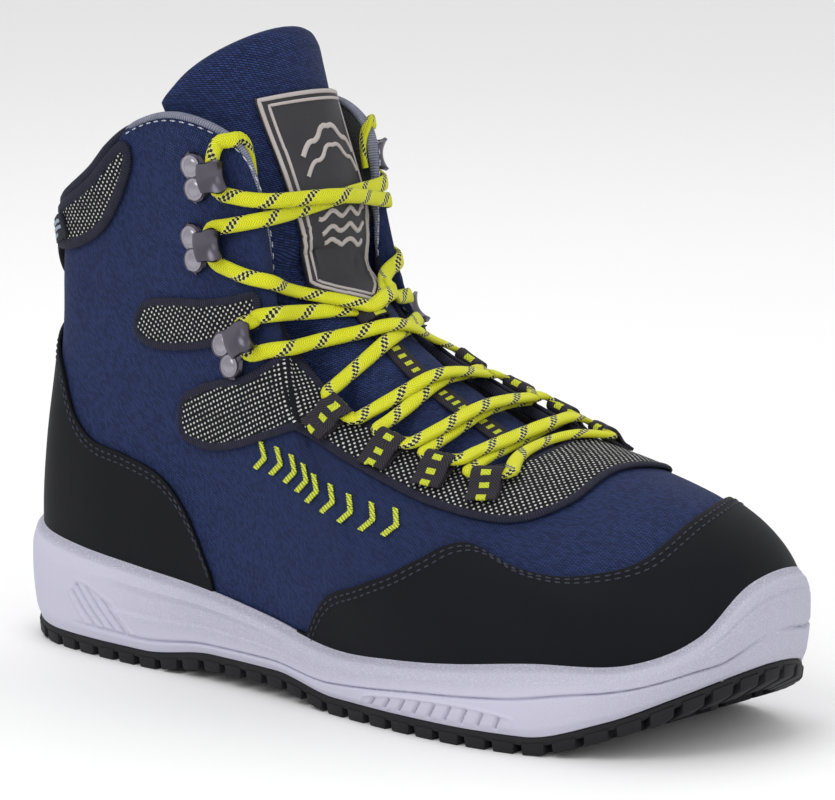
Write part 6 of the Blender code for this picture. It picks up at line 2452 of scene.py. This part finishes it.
@dataclass
class Outsole:
    """The lugged rubber outsole: a thin slab, block lugs round its edge and slanted ones between.

    Attributes:
        flare: how far the slab stands out past the foot's outline.
        pitch: spacing of the lugs along the edge.
        lug_length: a lug's length along the edge.
        lug_depth: a lug's depth in from the edge.
        row: spacing of the inner rows of lugs.
        root: how far a lug runs up into the slab.
        taper: how much narrower its foot is, as a share.
        rounding: radius of its edges.
        inner_size: greatest length and depth of an inner lug.
        inner_pitch: spacing of the inner lugs across the sole.
        inner_gap: the gap between them.
        inner_room: the least room across that takes one.
        inner_lean: degrees that they slant by.
    """

    flare: float = 4.2 * MM
    pitch: float = 10.6 * MM
    lug_length: float = 8.2 * MM
    lug_depth: float = 11.5 * MM
    row: float = 12.5 * MM
    root: float = 0.8 * MM
    taper: float = 0.09
    rounding: float = 0.55 * MM
    inner_size: tuple[float, float] = (6.4 * MM, 11.0 * MM)
    inner_pitch: float = 13.0 * MM
    inner_gap: float = 2.4 * MM
    inner_room: float = 8.0 * MM
    inner_lean: float = 24

    def edge(self, station: Array, out: float) -> Array:
        """Points of the sole's outline, level, moved out or in."""
        return (FORM.foot(station) + FORM.outward(station) * (self.flare + out)) * (1, 1, 0)

    def build(self) -> None:
        """Make the slab and its lugs as one piece."""
        meshes = [self.slab(), self.edge_lugs(), self.inner_lugs()]
        add_piece("outsole_tread", joined(meshes), [TREAD.material()], ["outsole"], sharp=35)

    def slab(self) -> bpy.types.Mesh:
        """The slab, rounded at its edge, its faces running across the foot."""
        section = ((-0.6, 1.0), (-0.15, 1.0), (0.0, 0.85), (0.05, 0.5), (0.0, 0.15), (-0.2, 0.0), (-0.6, 0.0))
        outs = np.array(section) * (MM * 2, 1)

        def place(u: Array, v: Array) -> Array:
            """Points of the slab: over its top, round its edge and under it."""
            station = u * ROUND
            along = v * 8
            k = np.clip(along - 1, 0, len(outs) - 1)
            out = np.interp(k, np.arange(len(outs)), outs[:, 0])
            up = np.interp(k, np.arange(len(outs)), outs[:, 1])
            edge = (FORM.foot(station) + FORM.outward(station) * (self.flare + out)[:, None]) * (1, 1, 0)
            across = (FORM.foot(ROUND - station) + FORM.outward(ROUND - station) * self.flare) * (1, 1, 0)
            inwards = np.clip(np.maximum(1 - along, along - 7), 0, 1)[:, None]
            point = edge + ((edge + across) / 2 - edge) * inwards
            point[:, 2] = FORM.lift.at(point[:, 0]) + LUG_HEIGHT + SLAB_THICKNESS * up
            return point

        return closed_up(grid(place, 312, 8))

    def block(self, bm: bmesh.types.BMesh, place: Matrix, size: tuple[float, float]) -> None:
        """One rounded lug under the slab.

        Args:
            bm: the mesh to add it to.
            place: its middle and its axes, level.
            size: its length and depth.
        """
        turned = place @ Matrix.Diagonal((*size, LUG_HEIGHT + self.root, 1))
        cube = bmesh.ops.create_cube(bm, size=1, matrix=turned)
        base = {vert: vert.co.z > place.translation.z for vert in cube["verts"]}
        for vert, top in base.items():
            if not top:
                toward = (place.translation - vert.co) * self.taper
                vert.co.x += toward.x
                vert.co.y += toward.y
        edges = list({edge for vert in cube["verts"] for edge in vert.link_edges})
        bevelled = bmesh.ops.bevel(
            bm, geom=edges, offset=self.rounding, segments=2, affect="EDGES", profile=0.5, material=-1)
        for vert in {vert for face in bevelled["faces"] for vert in face.verts} | set(
            vert for vert in cube["verts"] if vert.is_valid
        ):
            vert.co.z += float(FORM.lift.at(np.array(vert.co.x)))

    def edge_lugs(self) -> bpy.types.Mesh:
        """Lugs all round the edge, flush with the slab's side."""
        ats = np.linspace(0, ROUND, 1200)
        points = self.edge(ats, 0)
        lengths = np.cumsum(np.linalg.norm(np.diff(points, axis=0, prepend=points[:1]), axis=1))
        count = int(round(lengths[-1] / self.pitch))
        bm = bmesh.new()
        for station in np.interp((np.arange(count) + 0.5) * lengths[-1] / count, lengths, ats):
            at = np.array(station)
            out = Vector(FORM.outward(at))
            along = Vector((-out.y, out.x, 0))
            depth = self.lug_depth if int(station * 10) % 2 else self.lug_depth * 0.82
            middle = Vector(self.edge(at, 0.5 * MM)) - out * depth / 2
            middle.z = (LUG_HEIGHT + self.root) / 2
            turn = Matrix((along, out, Vector((0, 0, 1)))).transposed().to_4x4()
            self.block(bm, Matrix.Translation(middle) @ turn, (self.lug_length, depth))
        return meshed(bm, "edge_lugs")

    def inner_lugs(self) -> bpy.types.Mesh:
        """Staggered slanted lugs between the edge lugs."""
        bm = bmesh.new()
        ats = np.linspace(0, LAST_SECTION, 400)
        inset = -self.lug_depth - 2 * MM
        outer, inner = self.edge(ats, inset), self.edge(ROUND - ats, inset)
        for k, x in enumerate(np.arange(0.018, 0.292, self.row)):
            low = np.interp(x, outer[:, 0], outer[:, 1])
            high = np.interp(x, inner[:, 0], inner[:, 1])
            room = high - low
            count = max(int(room // self.inner_pitch), 1)
            if room < self.inner_room:
                continue
            for j in range(count):
                y = low + room * (j + 0.5) / count
                lean = math.radians(self.inner_lean if (j + k) % 2 else -self.inner_lean)
                middle = Matrix.Translation((x, y, (LUG_HEIGHT + self.root) / 2))
                size = (self.inner_size[0], min(room / count - self.inner_gap, self.inner_size[1]))
                self.block(bm, middle @ Matrix.Rotation(lean, 4, "Z"), size)
        return meshed(bm, "inner_lugs")


@dataclass
class Insole:
    """The removable insole, cupped a little at its edge.

    Attributes:
        thickness: its thickness.
        cup: how far its edge turns up.
    """

    thickness: float = 4.0 * MM
    cup: float = 1.8 * MM

    def build(self) -> None:
        """Make the insole."""
        def place(u: Array, v: Array) -> Array:
            """Points of its top, from the edge to its middle line."""
            station = u * ROUND
            inset = UPPER_WALL + 4 * CLEARANCE
            edge = FORM.foot(station) - FORM.outward(station) * inset
            across = FORM.foot(ROUND - station) - FORM.outward(ROUND - station) * inset
            point = edge + ((edge + across) / 2 - edge) * v[:, None]
            turned_up = self.cup * np.clip(1 - v / 0.25, 0, 1) ** 2
            point[:, 2] = FORM.bed.at(point[:, 0]) + CLEARANCE + self.thickness + turned_up
            return np.concatenate([point, point[:, :2]], axis=1)

        mesh = closed_up(grid(place, 240, 12), sheet=True)
        wall = Wall(self.thickness, -1.0)
        add_piece("insole_pad", mesh, [LINING_CLOTH.material()], ["insole"], wall)


@dataclass
class HeelTrim:
    """The pull loop behind the collar, and the small label beside it.

    Attributes:
        width: width of the pull loop's webbing.
        sheet: its thickness.
        length: the loop's length down the heel.
        depth: how far it stands off.
        label: width and height of the label.
    """

    width: float = 14.0 * MM
    sheet: float = 1.8 * MM
    length: float = 25.0 * MM
    depth: float = 8.5 * MM
    label: tuple[float, float] = (12.0 * MM, 9.0 * MM)

    def build(self) -> None:
        """Make the loop and the label."""
        self.add_loop()
        self.add_label()

    def add_loop(self) -> None:
        """Webbing folded out from the collar's back, sewn flat above and below."""
        top, back = FORM.skin(np.array(0.0), np.array(0.97)), FORM.skin(np.array(0.0), np.array(0.80))
        seat = OVERLAY_WALL + 3 * CLEARANCE
        centre = (top + back) / 2
        lean = (top[0] - back[0]) / (top[2] - back[2])
        turn = np.radians(np.linspace(90, 270, 25))
        reach, depth = self.length / 2 - self.sheet / 2, self.depth - self.sheet / 2
        x = centre[0] - seat + depth * np.cos(turn)
        z = centre[2] + reach * np.sin(turn)
        path = np.stack([x + lean * (z - centre[2]) * 0.5, 0 * x, z], axis=-1)
        tabs = [path[0] + (1.6 * MM, 0, 1.2 * MM), path[-1] + (1.6 * MM, 0, -1.2 * MM)]
        path = resampled(np.concatenate([tabs[:1], path, tabs[1:]]), 0.8 * MM)
        normals = unit(path - (centre + (4 * MM, 0, 0)))
        mesh = sweep(path, normals, oval(self.width, self.sheet, 24, 0.45))
        add_piece("pull_loop_webbing", mesh, [TAPE.material()], ["pull_loop"])
        rows = []
        for side in (-1, 1):
            line = path[2:-2] + (0, side * (self.width / 2 - 1.8 * MM), 0) + normals[2:-2] * self.sheet / 2
            rows.append(Stitching().mesh(line, normals[2:-2]))
        add_piece("pull_loop_stitches", joined(rows), [SEAM_THREAD.material()])

    def add_label(self) -> None:
        """A dark woven label with three plain pale bars."""
        axes = FORM.frame_at(1.9, 0.92)
        wide, high = self.label
        sheet = self.patch(axes, wide, high, ON_STAY, (0, 0), 12)
        wall = Wall(1.4 * MM, 1.0, bevel=0.4 * MM)
        add_piece("label_tab", sheet, [LABEL_CLOTH.material()], ["side_label"], wall)
        bars = [
            self.patch(axes, wide * length, high * 0.13, ON_STAY + 1.4 * MM, (wide * x, high * y), 6)
            for length, x, y in ((0.66, 0.0, 0.24), (0.66, 0.0, 0.0), (0.34, -0.16, -0.24))
        ]
        add_piece("label_bars", joined(bars), [LABEL_PALE.material()], wall=Wall(0.3 * MM, 1.0))

    def patch(
        self, axes: Matrix, wide: float, high: float, out: float, middle: tuple[float, float], cells: int
    ) -> bpy.types.Mesh:
        """A small rectangle laid on the upper.

        Args:
            axes: the axes that it is square to.
            wide: its width.
            high: its height.
            out: how far out it lies.
            middle: where its middle is in those axes.
            cells: quads each way.

        Returns:
            Its mesh.
        """
        across = np.linspace(-wide / 2, wide / 2, cells + 1) + middle[0]
        ups = np.linspace(-high / 2, high / 2, cells + 1) + middle[1]
        flat = np.array([(x, y, out) for y in ups for x in across])
        sheet = laid(TONGUE.upper_tree, axes, flat).reshape(cells + 1, cells + 1, 3)
        return sheet_mesh(sheet, (wide, high))


@dataclass
class Embroidery:
    """A plain row of embroidered chevrons on the outer side, in bright thread.

    Attributes:
        start: station and rise of the row's heel end.
        end: station and rise of its toe end.
        count: number of chevrons.
        size: a chevron's height.
        thread: width of a thread.
        rows: threads in each arm of a chevron.
        reach: half a thread's length.
        out: how far a thread's middle stands off the cloth.
        sink: how much less its ends do.
    """

    start: tuple[float, float] = (6.0, 0.375)
    end: tuple[float, float] = (9.6, 0.60)
    count: int = 9
    size: float = 10.0 * MM
    thread: float = 0.75 * MM
    rows: int = 7
    reach: float = 1.1 * MM
    out: float = 1.0 * MM
    sink: float = 0.2 * MM

    def build(self) -> None:
        """Make all the threads of the row as one piece."""
        ats = np.array((self.start, self.end))
        ends = FORM.skin(ats[:, 0], ats[:, 1])
        run = Vector(ends[1] - ends[0])
        meshes = []
        for k in range(self.count):
            share = (k + 0.5) / self.count
            station, rise = ats[0] + (ats[1] - ats[0]) * share
            out = Vector(FORM.normal(np.array(station), np.array(rise)))
            along = (run - out * run.dot(out)).normalized()
            place = FORM.skin(np.array(station), np.array(rise))
            turn = Matrix((along, out.cross(along), out)).transposed().to_4x4()
            axes = Matrix.Translation(place) @ turn
            for arm in (1, -1):
                for step in range(self.rows):
                    at = (step + 0.5) / self.rows
                    x, y = self.size * (0.36 * (1 - at) - 0.3), arm * self.size / 2 * at
                    flat = np.array([
                        (x + self.reach * k, y, self.out - self.sink * abs(k)) for k in (-1, 0, 1)
                    ])
                    points = laid(TONGUE.upper_tree, axes, flat)
                    points += np.array(out) * float(FORM.relief(np.array(station), np.array(rise)))
                    path = resampled(points, 0.7 * MM)
                    normals = np.repeat(np.array(out)[None], len(path), axis=0)
                    meshes.append(sweep(path, normals, oval(self.thread, 0.6 * MM, 6)))
        add_piece("side_embroidery", joined(meshes), [BRIGHT_THREAD.material()])


@dataclass
class Studio:
    """The floor, the soft lights and the photograph's camera.

    Attributes:
        aim: the point that the camera looks level with.
        azimuth: degrees round from the outer side towards the toe.
        elevation: degrees above level.
        distance: from the aim to the camera.
        image: the photograph's width and height in pixels.
        focal_pixels: the camera's focal length in those pixels.
        centre: the pixel that the aim falls on.
        sensor: the camera's sensor width in millimetres.
        lights: each light's name, place, size and power in watts.
        ambient: strength of the light from all round.
        floor: how pale the floor is.
    """

    aim: tuple[float, float, float] = (0.102, 0.0, 0.09)
    azimuth: float = 41.5
    elevation: float = 10.3
    distance: float = 1.6
    image: tuple[int, int] = (835, 800)
    focal_pixels: float = 4688
    centre: tuple[float, float] = (378.0, 421.5)
    sensor: float = 36
    lights: tuple[tuple[str, tuple[float, float, float], float, float], ...] = (
        ("key_light", (0.05, -1.25, 1.35), 1.1, 9), ("fill_light", (1.35, -0.5, 0.75), 1.0, 3.0),
        ("top_light", (-0.35, 0.5, 1.5), 1.2, 5),
    )
    ambient: float = 0.8
    floor: float = 0.93

    def build(self) -> None:
        """Make them all."""
        self.add_camera()
        self.add_floor()
        bpy.context.scene.view_settings.view_transform = "Standard"
        for light in self.lights:
            self.add_light(*light)
        world = bpy.data.worlds.new("studio")
        bpy.context.scene.world = world
        world.use_nodes = True
        world.node_tree.nodes["Background"].inputs["Color"].default_value = (1.0, 1.0, 1.0, 1)
        world.node_tree.nodes["Background"].inputs["Strength"].default_value = self.ambient

    def add_camera(self) -> None:
        """The camera at the photograph's angle, framed by its shift."""
        turn, tilt = math.radians(self.azimuth), math.radians(self.elevation)
        back = Vector((math.sin(turn) * math.cos(tilt), -math.cos(turn) * math.cos(tilt), math.sin(tilt)))
        data = bpy.data.cameras.new("camera")
        data.sensor_width = self.sensor
        data.lens = self.focal_pixels / self.image[0] * self.sensor
        data.shift_x = (self.image[0] / 2 - self.centre[0]) / self.image[0]
        data.shift_y = (self.centre[1] - self.image[1] / 2) / self.image[0]
        camera = bpy.data.objects.new("camera", data)
        camera.location = Vector(self.aim) + back * self.distance
        camera.rotation_euler = back.to_track_quat("Z", "Y").to_euler()
        bpy.context.scene.collection.objects.link(camera)
        bpy.context.scene.camera = camera

    def add_floor(self) -> None:
        """A pale matt floor."""
        bm = bmesh.new()
        bmesh.ops.create_grid(bm, x_segments=1, y_segments=1, size=6)
        mesh = meshed(bm, "floor")
        material = bpy.data.materials.new("pale_floor")
        material.use_nodes = True
        shader = material.node_tree.nodes["Principled BSDF"]
        shader.inputs["Base Color"].default_value = (self.floor, self.floor, self.floor, 1)
        shader.inputs["Roughness"].default_value = 0.9
        mesh.materials.append(material)
        floor = bpy.data.objects.new("floor", mesh)
        bpy.context.scene.collection.objects.link(floor)

    def add_light(self, name: str, place: tuple[float, float, float], size: float, power: float) -> None:
        """A square soft light that points at the boot.

        Args:
            name: its name.
            place: where it is.
            size: the length of its side.
            power: its power in watts.
        """
        data = bpy.data.lights.new(name, "AREA")
        data.size = size
        data.energy = power
        light = bpy.data.objects.new(name, data)
        light.location = place
        light.rotation_euler = (Vector(place) - Vector(self.aim)).to_track_quat("Z", "Y").to_euler()
        bpy.context.scene.collection.objects.link(light)


def main() -> None:
    """Build the boot on its frame, piece by piece, and the studio round it."""
    logging.basicConfig(level=logging.INFO, format="%(message)s")
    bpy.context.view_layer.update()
    Studio().build()
    Upper().build()
    tongue = Tongue()
    tongue.build()
    seams = (1.8 * MM, 3.8 * MM)
    overlays = [
        Overlay("toe_rand", TOE_RAND, "black_rubberised", RUBBERISED, 300, 16, seams=seams),
        Overlay("heel_counter", both_sides(COUNTER_HALF, True), "black_rubberised", RUBBERISED, 240, 20,
                seams=seams),
        Overlay("lace_stay", both_sides(STAY_HALF, False), "dark_mesh", MESH_CLOTH, 300, 12,
                piping_width=3.0 * MM),
        Overlay("ankle_band_outer", np.array(ANKLE_BAND), "dark_mesh", MESH_CLOTH, 80, 10,
                piping_width=3.0 * MM),
        Overlay("ankle_band_inner", mirrored(ANKLE_BAND), "dark_mesh", MESH_CLOTH, 80, 10,
                piping_width=3.0 * MM),
        Overlay("collar_panel", both_sides(PANEL_HALF, True), "dark_mesh", MESH_CLOTH, 160, 10,
                piping_width=3.8 * MM),
    ]
    for overlay in overlays:
        overlay.build()
    badge = Badge()
    badge.build()
    LaceLoops().build()
    LaceHooks().build()
    sheets = [TONGUE.tree]
    sheets += [tree_of(overlay.sheet(60, 3, CLEARANCE + OVERLAY_WALL)) for overlay in overlays[2:5]]
    sheets.append(tree_of(tongue.strip(60, tongue.seat + tongue.strip_wall)))
    sheets += [tree_of(badge.top()), TONGUE.upper_tree]
    Laces().build(sheets)
    Midsole().build()
    Outsole().build()
    Insole().build()
    HeelTrim().build()
    Embroidery().build()


if __name__ == "__main__":
    main()
